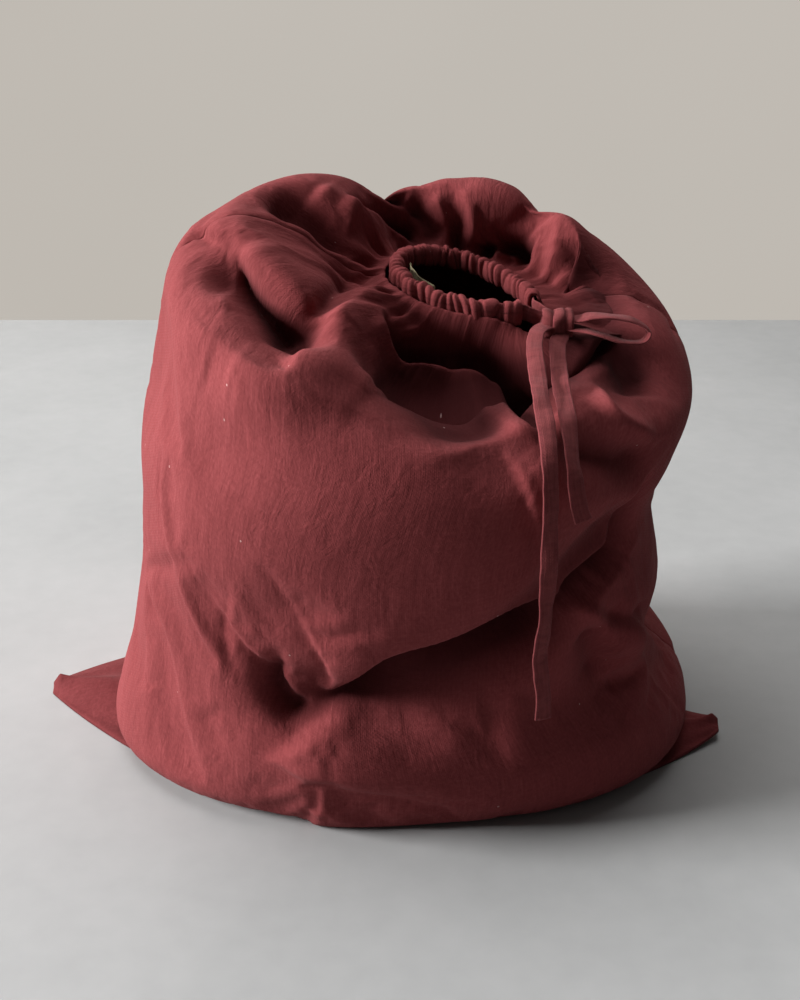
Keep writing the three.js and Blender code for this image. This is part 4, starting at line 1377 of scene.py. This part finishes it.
def strip_finish():
    g = Graph("linen_strip")
    x, s = g.cloth_place()
    ribs = g.weave(x, s)
    slub = g.noise(g.vector(x * 900, s * 60), detail=2)
    crease = g.noise(g.vector(x * 130, s * 300, 5.0), detail=3, distortion=0.5)
    row = g.math("ABSOLUTE", g.math("ABSOLUTE", x) - STITCH_IN * STRIP_WIDTH / 2) < 0.32 * MM
    dash = g.math("FRACT", s / STITCH) < 0.66
    thread = row * dash
    tone = 0.46 + (slub - 0.5) * 0.7 + (crease - 0.5) * 0.8
    # The strip's colour is darker than the bag's: painted shade.
    color = g.mix(tone * 2.0 - 0.2, WINE_DARK, WINE)
    # Its folded edges are paler: a painted highlight along the rounded edges.
    color = g.mix(g.math("ABSOLUTE", x) * 260 - 0.95, color, WINE_PALE)
    color = g.mix(thread * 0.7, color, STITCH_THREAD)
    height = ribs * (0.08 * MM) + crease * (0.35 * MM) + thread * (0.22 * MM) - row * (0.12 * MM)
    return g.finish(color, 0.86, height, Specular_IOR_Level=0.2, Sheen_Weight=0.05, Sheen_Roughness=0.5)


def tape_finish():
    g = Graph("beige_tape")
    x, s = g.cloth_place()
    twill = g.math("ABSOLUTE", g.math("SINE", x * (math.pi / TAPE_RIB) + s * (math.pi / TAPE_RIB)))
    slub = g.noise(g.vector(x * 500, s * 90), detail=2)
    tone = 0.35 + twill * 0.35 + (slub - 0.5) * 0.6
    color = g.mix(tone, TAPE_SHADED_DARK, TAPE_SHADED_PALE)
    return g.finish(color, 0.85, twill * (0.1 * MM), Specular_IOR_Level=0.2)


def floor_finish():
    g = Graph("pale_floor")
    place = g.node("ShaderNodeTexCoord", None, None, output=3)
    cloud = g.noise(place, detail=5, roughness=0.6, scale=5.0)
    grain = g.noise(place, detail=3, scale=60.0)
    tone = (cloud - 0.5) * 1.1 + (grain - 0.5) * 0.35 + 0.5
    color = g.mix(tone, FLOOR_DARK, FLOOR_PALE)
    return g.finish(color, 0.75, grain * (0.15 * MM), Specular_IOR_Level=0.2)


def wall_finish():
    """Paint that shows the camera its own even tone.

    From behind it is clear, so the bag can be seen from there.
    """
    g = Graph("painted_wall")
    place = g.node("ShaderNodeTexCoord", None, None, output=3)
    cloud = g.noise(place, detail=2, scale=2.0)
    color = g.mix(cloud, WALL_DARK, WALL_PALE)
    g.finish(color, 0.7, cloud * (0.05 * MM), Specular_IOR_Level=0.25)
    glow = g.node("ShaderNodeEmission", None, {"Color": color, "Strength": 1.0})
    seen = g.node("ShaderNodeLightPath")
    seen_straight = seen + Wire(g, seen.socket.node.outputs["Is Glossy Ray"])
    shown = g.node("ShaderNodeMixShader", None, {0: seen_straight})
    g.tree.links.new(g.principled.outputs[0], shown.socket.node.inputs[1])
    g.tree.links.new(glow.socket, shown.socket.node.inputs[2])
    facing = g.node("ShaderNodeNewGeometry")
    behind = Wire(g, facing.socket.node.outputs["Backfacing"])
    clear = g.node("ShaderNodeBsdfTransparent")
    one_sided = g.node("ShaderNodeMixShader", None, {0: behind})
    g.tree.links.new(shown.socket, one_sided.socket.node.inputs[1])
    g.tree.links.new(clear.socket, one_sided.socket.node.inputs[2])
    g.tree.links.new(one_sided.socket, g.tree.nodes["Material Output"].inputs["Surface"])
    return g.material


linen = linen_finish()
strip_linen = strip_finish()
for piece in (front_cloth, back_cloth, casing, left_ear, right_ear, left_seam, right_seam, floor_seam):
    piece.data.materials.append(linen)
for piece in (long_tail, short_tail, bow_loop, string_run, knot):
    piece.data.materials.append(strip_linen)
blank_tape.data.materials.append(tape_finish())

# %% [markdown]
# ## Floor and wall
#
# Plain pale surfaces, so that the bag's own colour and shadow can be judged.

# %%
WALL_AT = 0.86
WALL_HIGH = 1.2
FLOOR_HALF = 4


def plane(name, corners):
    piece = wire_mesh(name, np.array(corners, float), [(0, 1, 2, 3)])
    return piece


foot = [(-FLOOR_HALF, WALL_AT, 0), (FLOOR_HALF, WALL_AT, 0)]
floor = plane("floor", [(-FLOOR_HALF, -FLOOR_HALF, 0), (FLOOR_HALF, -FLOOR_HALF, 0)] + foot[::-1])
floor.data.materials.append(floor_finish())
wall = plane("wall", foot + [(FLOOR_HALF, WALL_AT, WALL_HIGH), (-FLOOR_HALF, WALL_AT, WALL_HIGH)])
wall.data.materials.append(wall_finish())

# %%
for piece in bpy.data.objects:
    if piece.type == "MESH" and not piece.hide_render:
        print(piece.name, "faces", len(piece.data.polygons))
